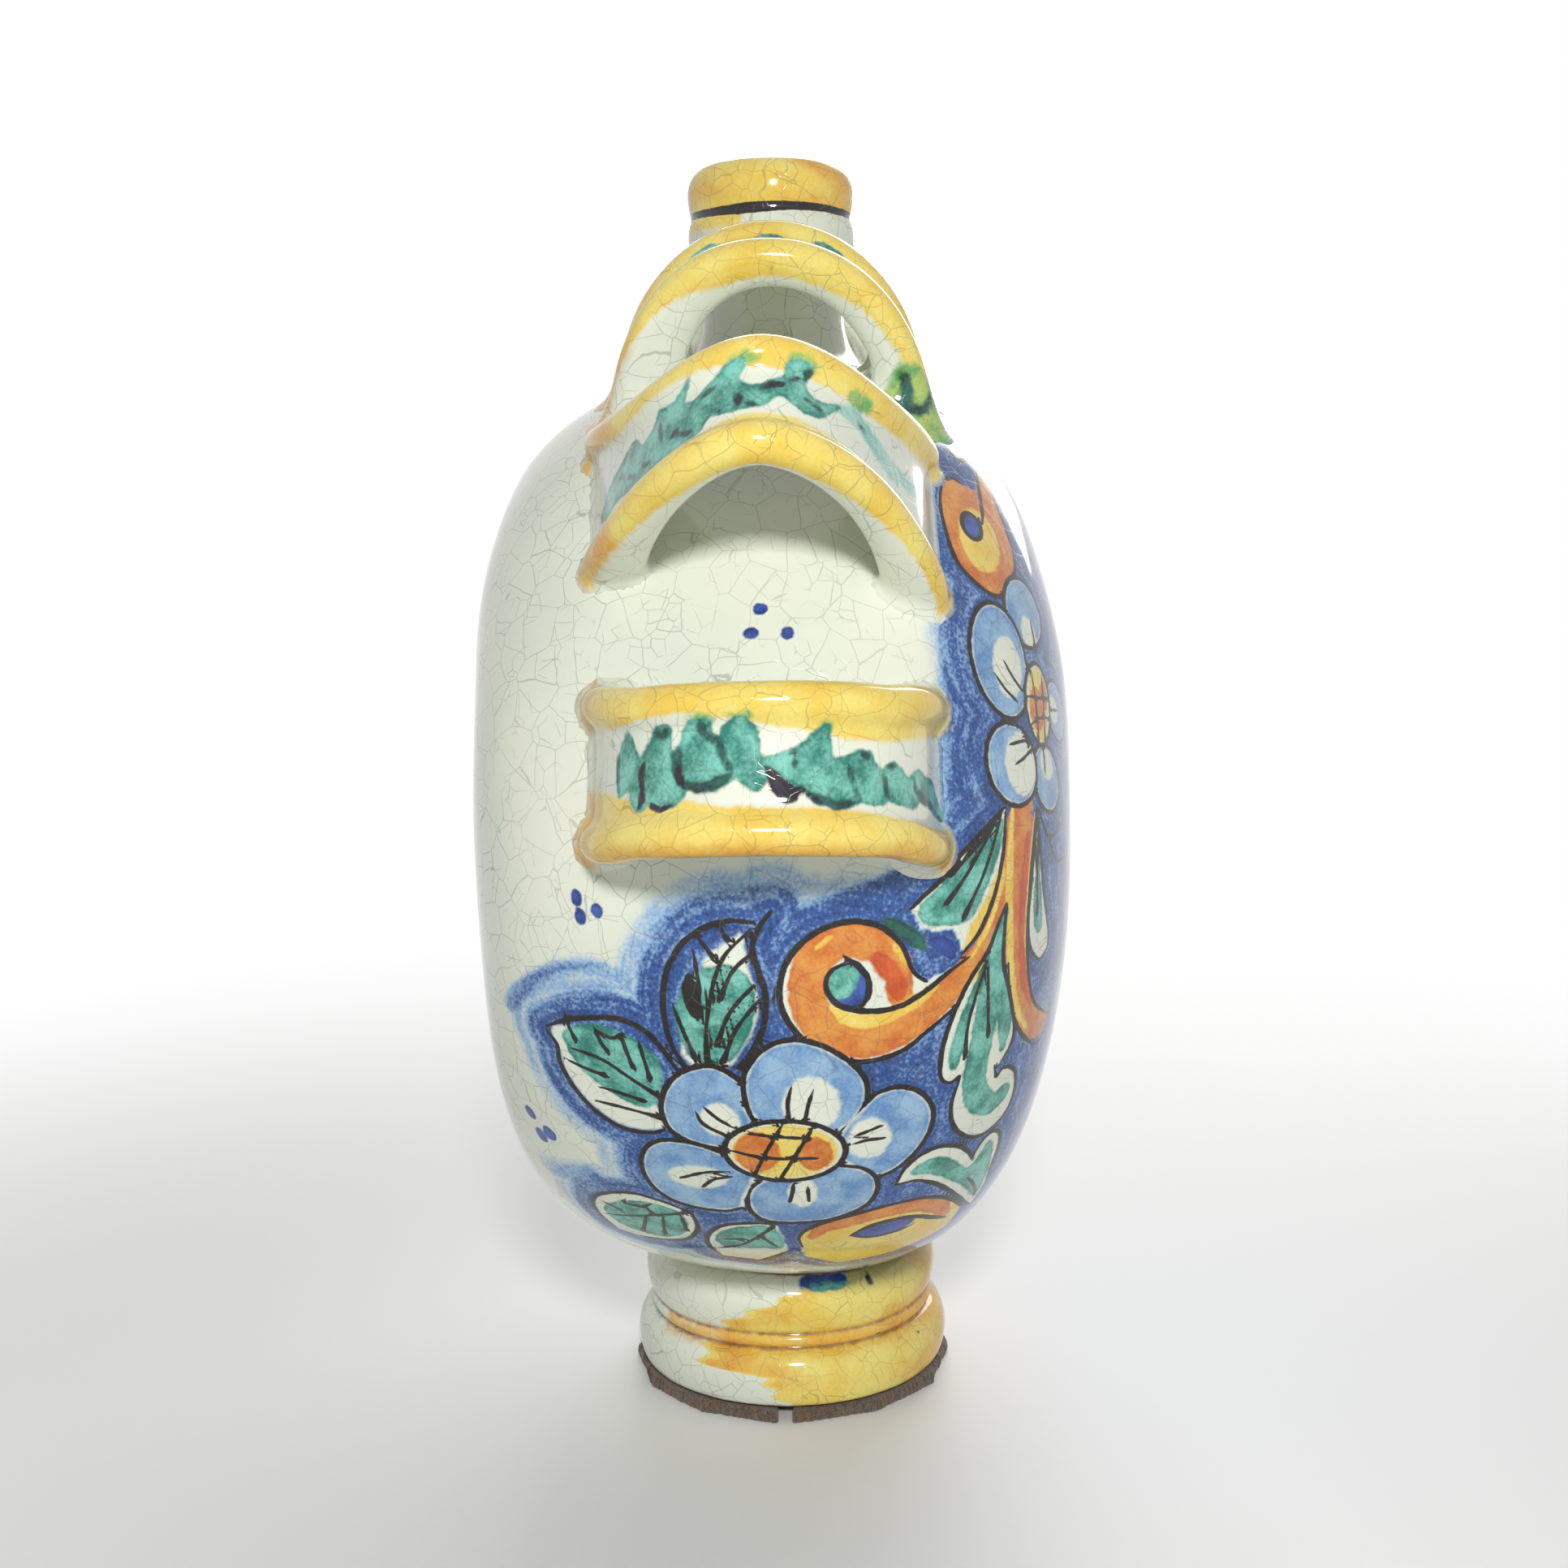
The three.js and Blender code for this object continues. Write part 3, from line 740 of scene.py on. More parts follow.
def paint_petal(canvas, line, closing, patch, marks):
    outline = curve(line)
    shape = np.vstack([outline, np.array(closing).reshape(-1, 2)])
    canvas.reserve(shape)
    canvas.blot("light_blue", shape, PALE_RIM)
    canvas.blot("bare", patch)
    canvas.stroke("ink", outline, OUTLINE, 0.8, 0.8)
    for mark in marks:
        canvas.stroke("ink", curve(mark), VEIN, 0.35, 0.9)


def paint_heart(canvas, centre, size, hatch, orange):
    rim = oval(centre, size)
    canvas.reserve(rim)
    canvas.blot("bare", rim)
    canvas.blot("yellow", oval(centre, (size[0] - 1.6, size[1] - 1.1)))
    for blob_centre, blob_size in orange:
        canvas.blot("orange", oval(blob_centre, blob_size))
    canvas.stroke("ink", rim, OUTLINE, 1.0, 1.0)
    for line in hatch:
        canvas.stroke("ink", curve(line), VEIN, 0.6, 0.9)


def paint_leaf(canvas, lines, green, veins, light=None, closing=()):
    """A leaf on bare glaze, or on blue with a light part left bare. Its closing edge has no outline, and
    its veins run from the tip and end in a pool of ink."""
    outlines = [curve(line) for line in lines]
    shape = np.vstack([*outlines, np.array(closing).reshape(-1, 2)])
    canvas.reserve(shape)
    if light is None:
        canvas.blot("bare", shape)
    else:
        canvas.shade(shape, curve(light, closed=True))
        canvas.blot("bare", curve(light, closed=True))
    canvas.blot("green", curve(green, closed=True))
    for outline in outlines:
        canvas.stroke("ink", outline, OUTLINE, 0.6, 0.6)
    for vein in veins:
        canvas.stroke("ink", curve(vein), VEIN, 0.4, 1.7)


def paint_rim_flower(canvas):
    """Five-petalled flower low on the rim, with a hatched heart."""
    paint_petal(
        canvas,
        [(-6.3, -52.3), (-8, -47), (-8.2, -42), (-14.5, -37.6), (-21.3, -39.6), (-25.3, -44.5),
         (-26.8, -51), (-25, -57.2), (-20, -60.3), (-13.3, -61.5)],
        [(-6, -60)],
        oval((-13.6, -52.6), (4.4, 5.0), 20),
        [[(-17.3, -48.9), (-14.5, -51.8), (-11.6, -54)], [(-18.9, -50.8), (-17.5, -54), (-12.6, -57)]],
    )
    paint_petal(
        canvas,
        [(12.3, -55.6), (15.7, -52), (18, -47), (17.6, -41.3), (14, -36.2), (8, -32), (2, -30.6),
         (-4, -33), (-8, -39.5), (-8, -47), (-6.3, -52.3)],
        [(0, -58)],
        oval((6, -47.5), (6.2, 7.6)),
        [[(1.9, -42.4), (1, -47), (1.2, -52)], [(6.4, -43.8), (5.3, -48), (4.6, -52.4)]],
    )
    paint_petal(
        canvas,
        [(17.8, -48), (20.5, -45.6), (25.5, -45), (30.5, -48.3), (33.3, -54.5), (32.3, -61.5),
         (28.5, -67.5), (24, -71.3), (20.3, -72.6)],
        [(15, -68), (9, -62), (13, -54)],
        oval((18.5, -59), (5, 6.3)),
        [[(15, -57.6), (18, -56.5), (21, -55.3)], [(14.8, -60), (18, -59.2), (21.4, -59.4)]],
    )
    paint_petal(
        canvas,
        [(12, -66.6), (17, -68.6), (20.1, -73), (20, -79.3), (17, -84.3), (10, -88.2), (3, -89.2),
         (-4, -88.6), (-7.5, -85.5), (-8.8, -80), (-8, -75), (-5.8, -71.8)],
        [(2, -65)],
        oval((3.6, -76.3), (3.3, 5.6)),
        [[(1.6, -72), (1.4, -75.5), (0.7, -79.4)], [(4.7, -74), (4.9, -79.4)]],
    )
    paint_petal(
        canvas,
        [(-14, -62.5), (-20, -60.5), (-26.5, -60.8), (-31, -64.5), (-32.6, -71), (-31.3, -78),
         (-27, -83.4), (-21, -85.4), (-14, -85.1), (-10, -83)],
        [(-8.5, -77), (-6, -69), (-6, -64)],
        oval((-19.5, -72.3), (6.8, 4.2), 8),
        [[(-12.3, -69), (-18, -70.3), (-23.2, -73.4)], [(-11.8, -70.7), (-16, -72.5), (-18.4, -75.6)]],
    )
    paint_heart(
        canvas, (0, -61.7), (13.2, 9.7),
        [[(-0.3, -53), (-3.8, -61), (-6.7, -69)], [(6.6, -53.2), (3, -61), (-0.9, -70)],
         [(-7.6, -56), (-1, -56.8), (5.3, -57.4)], [(-11.6, -61.7), (-4, -63.6), (6.6, -63.8)]],
        [((-6, -62), (5, 6.6)), ((6.5, -62.5), (4, 5.5))],
    )


def paint_rim_leaves(canvas):
    """Leaves round the flower: two above it on the plain side, two below, two on the painted side."""
    paint_leaf(
        canvas,
        [[(-22, -40.5), (-26, -34), (-30, -30), (-36, -28.2), (-44, -29.6), (-50, -32), (-53.6, -34.2)],
         [(-53.8, -35.8), (-51.3, -39), (-51, -44), (-48, -50.5), (-43, -56.3), (-36.5, -59.7),
          (-30, -59.4), (-25.6, -57)]],
        [(-49.5, -35.3), (-44, -31.2), (-37, -31), (-30, -34), (-26, -39), (-27, -47), (-29, -51),
         (-34, -51.3), (-41, -47.5), (-46.5, -43)],
        [[(-47.6, -38.8), (-40, -40), (-33, -44), (-27.6, -47.2)],
         [(-48.6, -28.8), (-47.8, -32.5), (-46.4, -36)], [(-41.2, -31.6), (-40.4, -34.5), (-38.6, -37.4)],
         [(-40.6, -32.2), (-37.6, -33.6), (-35, -32.4)], [(-35, -32.2), (-34, -36.4), (-32.6, -40.6)],
         [(-31, -33.4), (-30, -38), (-28.9, -42.8)],
         [(-49, -42.6), (-44, -43.8), (-39.6, -44.4)], [(-41, -48.3), (-36, -48.7), (-31, -49.6)],
         [(-42.6, -53), (-35, -53), (-27.7, -53.7)]],
        [(-52.5, -34.4), (-51, -39.5), (-50, -44.5), (-47, -50.5), (-42.5, -55.5), (-36.5, -58.6),
         (-30, -58.4), (-26.4, -56), (-28, -50), (-34, -46), (-41, -40), (-44, -34), (-48, -32.5)],
    )
    paint_leaf(
        canvas,
        [[(-20.5, -39), (-23.6, -33), (-25.1, -24), (-24, -15.5), (-20.2, -8.8), (-15, -5), (-10, -3.7),
          (-5.6, -4)],
         [(-1.6, -1.8), (-4, -5), (-5.6, -9.3), (-4.6, -14), (-3, -20), (-3.5, -27), (-6, -33),
          (-9.6, -38)]],
        [(-17.5, -15), (-12, -13.2), (-7.2, -15), (-5.2, -21), (-6, -28), (-9, -34), (-12.5, -37),
         (-18.5, -36.6), (-22, -30.5), (-22.6, -24), (-20.6, -19)],
        [[(-5.6, -5.2), (-12.4, -13), (-15.6, -26), (-15.9, -36.3)],
         [(-23, -23), (-21, -29), (-18.4, -36)], [(-3.4, -20), (-9.3, -28), (-12.4, -36.2)],
         [(-4.6, -17), (-10.5, -24), (-13.5, -31.8)], [(-18, -10.6), (-17, -20), (-18.2, -25)],
         [(-5.6, -10.6), (-10, -15), (-12.6, -21)], [(-17, -7.4), (-14, -11.6)],
         [(-12.6, -4), (-10.8, -7.8)]],
        [(-16, -14), (-14, -10.6), (-10, -7.6), (-7.6, -6.4), (-7.2, -9.8), (-6.4, -14), (-4.9, -20),
         (-5.2, -27), (-8.2, -33), (-11, -37.2), (-15, -38.4), (-19.5, -37.6), (-21.6, -33), (-18, -28),
         (-12, -24)],
    )
    canvas.stroke("ink", curve([(-19.3, -16.5), (-18.9, -20.7), (-17.9, -25)]), 3.6, 0.4, 0.7)
    paint_leaf(
        canvas,
        [[(-22.3, -88.3), (-28, -86), (-35, -85.4), (-41, -88.4), (-46, -94), (-47.6, -100.5),
          (-46, -107), (-42.5, -113)],
         [(-36, -113), (-29, -110), (-23.6, -105), (-20.8, -97), (-21.6, -89)]],
        [(-25, -89.5), (-32, -88), (-38.5, -91), (-43, -96), (-44.5, -102), (-40, -108), (-31, -108.5),
         (-25, -103), (-23, -96)],
        [[(-44.6, -104.4), (-39.5, -100.6), (-31, -94.5), (-22.2, -88.4)],
         [(-31.5, -88.5), (-33, -91), (-31, -94)], [(-38, -90), (-38.6, -92.5), (-34.5, -91.5)],
         [(-44.5, -96), (-40, -97.5)], [(-29, -94), (-29.2, -105)], [(-33.3, -97.5), (-34.8, -107)],
         [(-24.5, -91), (-23.5, -99)]],
    )
    paint_leaf(
        canvas,
        [[(-2.8, -89.5), (-9, -90.2), (-15, -93), (-18.4, -99.5), (-18.6, -107), (-16, -114)],
         [(-6, -114), (0, -106)]],
        [(-3, -92), (-9, -91.6), (-14.5, -95), (-17, -101), (-14.5, -106), (-7, -104.5), (-1, -103)],
        [[(-17, -108.5), (-11, -103.5), (-7, -97.5), (-3.5, -91.5)], [(-2.5, -103), (-6.3, -96.6)],
         [(-15, -101), (-11, -99.5)]],
    )


def paint_ball_scroll(canvas):
    """Orange scroll that curls round a blue and green ball."""
    line = curve([(31.5, -19.3), (28.6, -16.5), (26, -10.2), (21, -5.6), (14, -4.4), (7, -6.9),
                  (2.2, -11.6), (0.2, -17), (0.1, -22), (2, -27), (6, -32), (11, -35.3), (18, -37),
                  (26, -35.4), (32, -31.6), (38, -28)])
    shape = np.vstack([line, [(44, -19), (43, -15.5), (37, -18)]])
    canvas.reserve(shape)
    canvas.blot("bare", shape)
    canvas.stroke("orange", curve([(25.5, -21.5), (24.8, -14.5), (20, -9.6), (13.5, -8.4), (8, -11.5),
                                   (5.8, -18), (7, -25), (11, -29.8), (17, -32), (24, -30.8), (31, -27),
                                   (38, -22.5), (44, -17)]), 8.2, 0.7, 0.8)
    canvas.stroke("rust", curve([(20.5, -12.5), (24, -17), (25.8, -22.3)]), 4.6, 0.6, 0.5)
    for highlight, width in (
        ([(11, -23.2), (14.5, -26.3), (20, -26.9), (27, -24.6), (34, -21)], 3.4),
        ([(7.5, -10), (11, -7.3)], 1.2),
        ([(24, -9.5), (27.3, -14.5)], 1.6),
    ):
        canvas.stroke("gold", curve(highlight), width)
    canvas.blot("blue", oval((14.6, -18.4), (4.4, 5.6)))
    canvas.blot("green", oval((13.2, -17.4), (3.2, 4.2), -20))
    canvas.blot("lime", oval((13.0, -17.2), (1.6, 2.0)))
    canvas.stroke("ink", line, OUTLINE, 0.7, 0.7)
    ball_edge = [(13.6, -11.9), (16.3, -13.9), (18.6, -17), (18.6, -21), (17, -23.6)]
    canvas.stroke("ink", curve(ball_edge), OUTLINE)
    canvas.stroke("ink", curve([(14, -13.4), (10.8, -14.9), (9.7, -18.5), (11.8, -22.4), (16, -24.2),
                                (20.5, -24.8), (26, -24.2), (32, -21.4), (37, -18.4),
                                (42.5, -16)]), OUTLINE)


def paint_dabs(canvas):
    """Blue dabs in threes on the plain ground."""
    for centre, size in (
        ((-43.9, 0.2), (1.4, 2.2)), ((-43, -4.3), (1.4, 2.1)), ((-39, -2.7), (1.4, 1.9)),
        ((-3.2, 62.8), (1.7, 1.5)), ((-5.2, 57.2), (1.8, 1.4)), ((2.6, 56.8), (1.4, 1.6)),
        ((-62.8, -69), (1.9, 2.3)), ((-60, -76.3), (1.9, 2.8)), ((-57, -73), (2.0, 2.8)),
    ):
        canvas.blot("blue", oval(centre, size, 12))


def paint_stems(canvas):
    """Two orange stems with yellow edges that run down the painted side."""
    for path, width in (
        ([(42, -19), (47.5, -13), (52, -5.5), (54.2, 3), (56, 12), (59, 20)], 5.4),
        ([(62, 21), (60.6, 10), (59.6, -2), (59.3, -14), (60, -28), (62.6, -39), (68, -48.5),
          (75, -56)], 10.0),
    ):
        canvas.stroke("orange", curve(path), width, 0.8, 0.8)
    canvas.stroke("rust", curve([(63.5, 12), (62, -2), (61.6, -16), (62.4, -29), (66, -40)]), 4.0)
    for path, width in (
        ([(57, 19), (56, 8), (55.7, -4), (56, -16), (57, -28), (59.5, -38), (64, -47)], 2.8),
        ([(67, 18), (65.4, 8), (63.7, -4), (62.9, -15), (63.6, -27)], 1.5),
        ([(43.5, -16), (48.5, -9.5), (52, -2), (53.8, 6)], 1.6),
    ):
        canvas.stroke("gold", curve(path), width)
    for path in (
        [(68, 19.5), (66, 9), (64.4, -3), (63.4, -15.5), (64.4, -28.5), (68, -41), (78, -55)],
        [(55.5, -22), (55.9, -30), (57.6, -38), (61.5, -47), (68.5, -58)],
        [(68.5, -58), (73, -61.6), (78.5, -62), (80.6, -58.6), (78, -55)],
        [(69.5, 19), (74, 11), (80, 10.5), (85, 14)],
        [(76, 8.5), (82, 1), (92, 0)],
    ):
        canvas.stroke("ink", curve(path), OUTLINE)


def paint_front_leaves(canvas):
    """Long leaves that hang from the stems on the painted side."""
    paint_leaf(
        canvas,
        [[(41, -14.5), (46, -10), (50.5, -2), (53.4, 8), (54.5, 18.5)],
         [(54, 19.5), (47.7, 14.5), (40, 8.2), (36.4, 4.2), (31, 0), (28.4, -2.4)]],
        [(53.5, 16.5), (47, 13), (40, 7), (35, 2.2), (29.8, -2.6), (31, -6), (35, -7.2), (39.5, -7.4),
         (43.5, -6.5), (48.5, 1), (52.2, 9)],
        [[(53, 19), (42.5, 4.5), (36.8, -2)], [(53.2, 18.4), (47.6, 4.7), (41.3, -6)],
         [(52.6, 19), (45, 10.5), (38, 4.4)]],
        closing=[(30.5, -6.7), (34.4, -8), (38.5, -8.2), (40, -11)],
    )
    canvas.stroke("yellow", curve([(53, 4.7), (49.8, -2.2), (45.6, -8.1), (41.6, -13.4)]), 3.2)
    canvas.stroke("deep", curve([(22.5, -4.5), (27, -7.5), (31.5, -11.5)]), 3.6)
    canvas.stroke("lime", curve([(23, -4.4), (27, -6.8), (30.5, -9.6)]), 1.2)
    canvas.stroke("blue", curve([(32.5, -10.5), (36, -11.5), (38.6, -15)]), 3.4)
    paint_leaf(
        canvas,
        [[(40.3, -47.5), (38, -55), (38.6, -62), (41.6, -68), (46, -72.4), (51, -74), (57, -72.6),
          (59.8, -67), (59.6, -60), (57.4, -55.8), (54, -53.4), (51.8, -54.8), (51, -50.5)],
         [(53, -50.8), (57, -47.3), (58.2, -42), (56, -30), (53.6, -21), (54, -12), (54.8, -5)],
         [(54.8, -5), (52.2, -9), (48.6, -15.6), (43.5, -21), (39, -28), (35.6, -37), (35, -45),
          (37.5, -48), (40, -47)]],
        [(47, -19), (42.5, -26), (38.8, -34), (37, -41), (38.3, -45), (40.5, -42), (43, -32), (46, -23)],
        [[(48.6, -17.5), (44.5, -27), (42.3, -34), (41.6, -42)],
         [(48.4, -17.7), (48.4, -28), (48.6, -39)]],
    )
    canvas.stroke("green", curve([(54.2, -7), (51, -16), (48.8, -28), (46.5, -40), (44.5, -50), (46, -58),
                                  (50, -63), (54.3, -63.3)]), 7.5, 0.3, 0.9)
    canvas.stroke("green", curve([(51, -16), (53, -28), (54.4, -38), (53.8, -46)]), 5.5)
    canvas.stroke("gold", curve([(51.6, -11), (47.6, -18), (43.6, -23)]), 1.6)
    paint_leaf(
        canvas,
        [[(68.4, 19), (66.8, 9), (65, -3), (63.8, -14), (65.4, -22), (70, -28)],
         [(70, -28), (75.5, -27), (76, -21), (72, -6), (69.6, 10), (68.6, 18)]],
        [(68.6, 12), (67.4, 2), (66.2, -10), (68, -18), (71.5, -17), (70.6, -6), (69.4, 4)],
        [[(68.6, 14), (68.2, 2), (68.4, -12)]],
    )
    paint_leaf(
        canvas,
        [[(24.8, -76.3), (27, -71.3), (31, -68.2), (36, -68.2), (41, -72), (44, -77.2), (45.4, -82)],
         [(45.4, -82), (46.3, -78.6), (49.4, -75.8), (53, -77.2), (55, -82), (54.8, -88.5), (53, -96),
          (52, -104)],
         [(47, -114), (44.5, -106), (42, -98), (38.6, -89.6), (34.4, -82.4), (29.5, -78), (24.6, -77.4)]],
        [(28, -74.5), (31, -71.5), (35.5, -72), (40, -77), (44, -84), (47.5, -82), (50.5, -79),
         (52.5, -84), (52, -94), (50, -106), (47, -106), (44, -96), (40, -87), (34, -78.5)],
        [[(44.3, -89.6), (47, -98), (48.3, -108)]],
    )


def paint_eye_scrolls(canvas):
    """Yellow and orange scrolls with a blue eye: one low beside the foot, one high on the shoulder."""
    low = curve([(3.3, -103), (2.5, -97), (5, -92.2), (10, -89), (17, -86.6), (24, -85.6), (31, -87),
                 (36.5, -91.3), (40.5, -98), (43.5, -107)])
    shape = np.vstack([low, [(40, -118), (12, -118), (4, -110)]])
    canvas.reserve(shape)
    canvas.blot("yellow", shape)
    canvas.stroke("orange", curve([(5.5, -97), (9, -92), (16, -89.3), (24, -88.5), (31, -90.5), (36, -96),
                                   (39, -105)]), 6.0)
    canvas.blot("bare", oval((23, -104), (6, 2.6)))
    canvas.blot("blue", oval((22.5, -98), (7.5, 3.6)))
    canvas.stroke("ink", low, OUTLINE)
    canvas.stroke("ink", curve([(14.5, -98), (18, -94.8), (23, -93.6), (28, -94.8), (31.5, -97.5),
                                (35, -102), (39, -108)]), 1.8)
    canvas.stroke("ink", curve([(15, -99), (20, -101.3), (26, -101.5), (30, -100.4)]), 1.3)

    high = curve([(40, 108), (38.6, 99), (39.3, 89), (42, 80.6), (48, 76.6), (54.5, 76.8), (60.5, 84),
                  (63, 95), (61.5, 105), (57.5, 120), (56, 135), (54, 150), (52, 166)])
    shape = np.vstack([high, [(48, 166), (50, 150), (51, 134), (51.3, 119), (50.5, 112), (46, 111),
                              (43, 111.3)]])
    canvas.reserve(shape)
    canvas.blot("orange", shape)
    canvas.blot("bare", oval((48.2, 93), (8.2, 12.0), -8))
    canvas.blot("gold", oval((49.8, 92.6), (6.6, 11.2), -8))
    canvas.blot("blue", oval((47.4, 95.6), (2.7, 4.3), -10))
    canvas.stroke("ink", high, OUTLINE)
    canvas.stroke("ink", curve([(40, 108), (43, 111.3), (46, 111)]), OUTLINE)
    canvas.stroke("ink", oval((47.4, 95.6), (3.0, 4.7), -10), 1.4, 1.0, 1.0)
    tendril = [(48, 100), (50.8, 99), (51.8, 106), (51.7, 119), (51, 134), (49.7, 150)]
    canvas.stroke("ink", curve(tendril), OUTLINE)
    paint_leaf(
        canvas,
        [[(34, 118), (38.4, 122.6), (41.8, 131)], [(42.7, 136), (42.6, 146), (42, 157)]],
        [(33.5, 120), (37.5, 124), (40.6, 132), (41.6, 145), (40, 156), (35, 150), (33, 134)],
        [], closing=[(36, 158), (32, 140)],
    )
    canvas.stroke("lime", curve([(35, 134), (38, 145), (39, 154)]), 3.4)
    paint_leaf(
        canvas,
        [[(42, 126), (45.4, 122.6), (49.2, 126.8)], [(49.2, 127), (48.8, 133), (46.8, 141), (44, 150)],
         [(44, 150), (42.9, 140), (42.2, 130)]],
        [(43.8, 134), (46, 132), (46.4, 137), (44.6, 144)], [],
    )


def paint_edge_flower(canvas):
    """Flower at the edge of the painted face."""
    for centre, size, tilt, patch, marks in (
        ((66, 79), (9, 12), -20, ((67.5, 73), (4, 5)), [[(68.5, 78), (70, 73), (71, 68)]]),
        ((76, 29), (9, 11), 15, ((75.5, 33.5), (4.5, 5)), [[(74, 30), (74, 34), (73.5, 38)]]),
        ((86, 56), (9, 11), 0, ((83, 55), (4, 5)), [[(87, 57), (83, 55), (80, 54)]]),
        ((58.7, 31), (10.2, 11.2), 12, ((61.8, 31.5), (6.8, 8.8)),
         [[(55.5, 41.6), (62, 41.4), (65.4, 36.5)], [(57, 36), (60.5, 37.3), (64, 38.5)],
          [(59, 31), (63, 33.5), (66.5, 36.3)]]),
        ((55.5, 58.5), (10.7, 15.6), 8, ((57.5, 57.5), (5.6, 8.6)),
         [[(56, 58.5), (59, 55.5), (63, 52.8)], [(52.4, 54), (56, 51), (60.6, 48.8)]]),
    ):
        outline = oval(centre, size, tilt)
        paint_petal(canvas, outline[::3], outline[:1], oval(*patch), marks)
    paint_heart(
        canvas, (72, 52), (7.5, 13.0),
        [[(67, 44), (73, 48), (79, 50)], [(65.5, 52), (72, 54), (79, 57)], [(68, 61), (70, 52), (71, 41)],
         [(74, 62), (75, 52), (75, 42)]],
        [((70.5, 50), (4, 7)), ((75, 56), (2.6, 5))],
    )


def paint_ground(canvas):
    """Blue ground of the painted side, its brushed edge, and broad strokes beside the leaves."""
    across, up = canvas.chart.T
    edge = np.interp(up, (-190, -120, -90, -60, -45, -30, 1, 8, 20, 60, 80, 120, 160, 190),
                     (12, 10, 15, 15, 10, 3, 6, 27, 34, 34, 37, 38, 14, 10))
    canvas.halo()
    ground = GROUND_STRENGTH * np.clip((across - edge) / GROUND_FADE, 0, 1)
    canvas.wash = np.maximum(canvas.wash, ground)
    for path, width, strength in (
        ([(-65, -32), (-60, -25.5), (-52, -19.5), (-43, -16.7), (-35, -17.5), (-31, -21)], 8.0, 0.7),
        ([(-58, -32), (-48, -25), (-38, -22), (-31, -26)], 7.0, 0.8),
        ([(-31, -22), (-27, -8), (-17, 0), (-7, 3)], 9.0, 0.5),
        ([(-46, -84), (-52, -88), (-58, -92)], 15.0, 0.8),
        ([(-12, 2), (-4, 3), (10, 3), (22, 2)], 10.0, 0.5),
    ):
        canvas.brush_wash(curve(path), width, strength)
    canvas.wash[(canvas.motif < 0) & ~canvas.shaded] = 0


def paint_rim(canvas):
    paint_stems(canvas)
    paint_eye_scrolls(canvas)
    paint_front_leaves(canvas)
    paint_ball_scroll(canvas)
    paint_rim_leaves(canvas)
    paint_rim_flower(canvas)
    paint_edge_flower(canvas)
    paint_ground(canvas)
    paint_dabs(canvas)


# Front face, out of sight in the photo: a flower and leaves of the same kind.
FACE_LINE = 2.2
FACE_VEIN = 1.8
FACE_MARK = 1.7
FACE_LEAF = (
    [(36, 0), (42, 6.5), (50, 8), (58, 5), (64, 0)],
    [(64, 0), (58, -5), (50, -8), (42, -6.5), (36, 0)],
)
FACE_LEAF_GREEN = [(40, 0), (44, 4), (51, 5.2), (60, 0), (51, -5.2), (44, -4)]
FACE_PETAL = [
    (10, -5), (18, -13), (30, -15.5), (39, -10), (41.5, 0), (39, 10), (30, 15.5), (18, 13), (10, 5),
]


def around_face(points, turn):
    """Points turned about the middle of the face, in degrees."""
    cos, sin = math.cos(math.radians(turn)), math.sin(math.radians(turn))
    x, y = np.array(points, float).T
    return np.column_stack([x * cos - y * sin, x * sin + y * cos])


def paint_face(canvas):
    """Six leaves and a six-petalled flower with a hatched heart."""
    for turn in (0, 60, 120, 180, 240, 300):
        outlines = [curve(around_face(line, turn)) for line in FACE_LEAF]
        shape = np.vstack(outlines)
        canvas.reserve(shape)
        canvas.blot("bare", shape)
        canvas.blot("green", curve(around_face(FACE_LEAF_GREEN, turn), closed=True))
        for outline in outlines:
            canvas.stroke("ink", outline, FACE_LINE)
        canvas.stroke("ink", around_face([(38, 0), (60, 0)], turn), FACE_VEIN)
    for turn in (30, 90, 150, 210, 270, 330):
        outline = curve(around_face(FACE_PETAL, turn))
        canvas.reserve(outline)
        canvas.blot("light_blue", outline)
        canvas.blot("bare", around_face(oval((21, 0), (8, 5.5)), turn))
        canvas.stroke("ink", outline, FACE_LINE)
        for lean in (-3.2, 0, 3.2):
            mark = around_face([(14, lean * 0.8), (24 - abs(lean), lean * 1.5)], turn)
            canvas.stroke("ink", mark, FACE_MARK)
    heart = oval((0, 0), (13.5, 13.5))
    canvas.reserve(heart)
    canvas.blot("yellow", heart)
    canvas.blot("orange", oval((3, -2), (8, 8.5)))
    canvas.stroke("ink", heart, FACE_LINE, 1.0, 1.0)
    for offset in (-5, 0, 5):
        canvas.stroke("ink", np.array([(offset - 2.5, -10.5), (offset + 2.5, 10.5)]), FACE_MARK)
        canvas.stroke("ink", np.array([(-10.5, offset + 1.5), (10.5, offset - 1.5)]), FACE_MARK)


# Charts of the body for painting.
def rim_chart(points, bowl):
    """Distance across the rim from the seam, and up the rim from the middle of the side."""
    x, y, z = points.T
    radius = np.hypot(x, z - BODY_CENTRE)
    turn = np.arctan2(
        np.clip(np.abs(y) / bowl["depth"], 0, 1) ** (bowl["rim_power"] / 2),
        np.clip(radius / BODY_RADIUS, 0, 1) ** (bowl["face_power"] / 2),
    )
    outline = bowl_outline(bowl)
    known = np.linspace(0, math.pi / 2, len(outline))
    across = np.interp(turn, known, lengths_along(outline)) * -bowl["side"]
    return np.column_stack([across, BODY_RADIUS * np.arctan2(z - BODY_CENTRE, np.abs(x))])


def merge_layers(first, second):
    closer = second.layers["ink"] < first.layers["ink"]
    for colour in COLOURS:
        first.layers[colour] = np.minimum(first.layers[colour], second.layers[colour])
    first.motif = np.minimum(first.motif, second.motif)
    first.ink_side = np.where(closer, second.ink_side, first.ink_side)
    first.ink_half = np.where(closer, second.ink_half, first.ink_half)


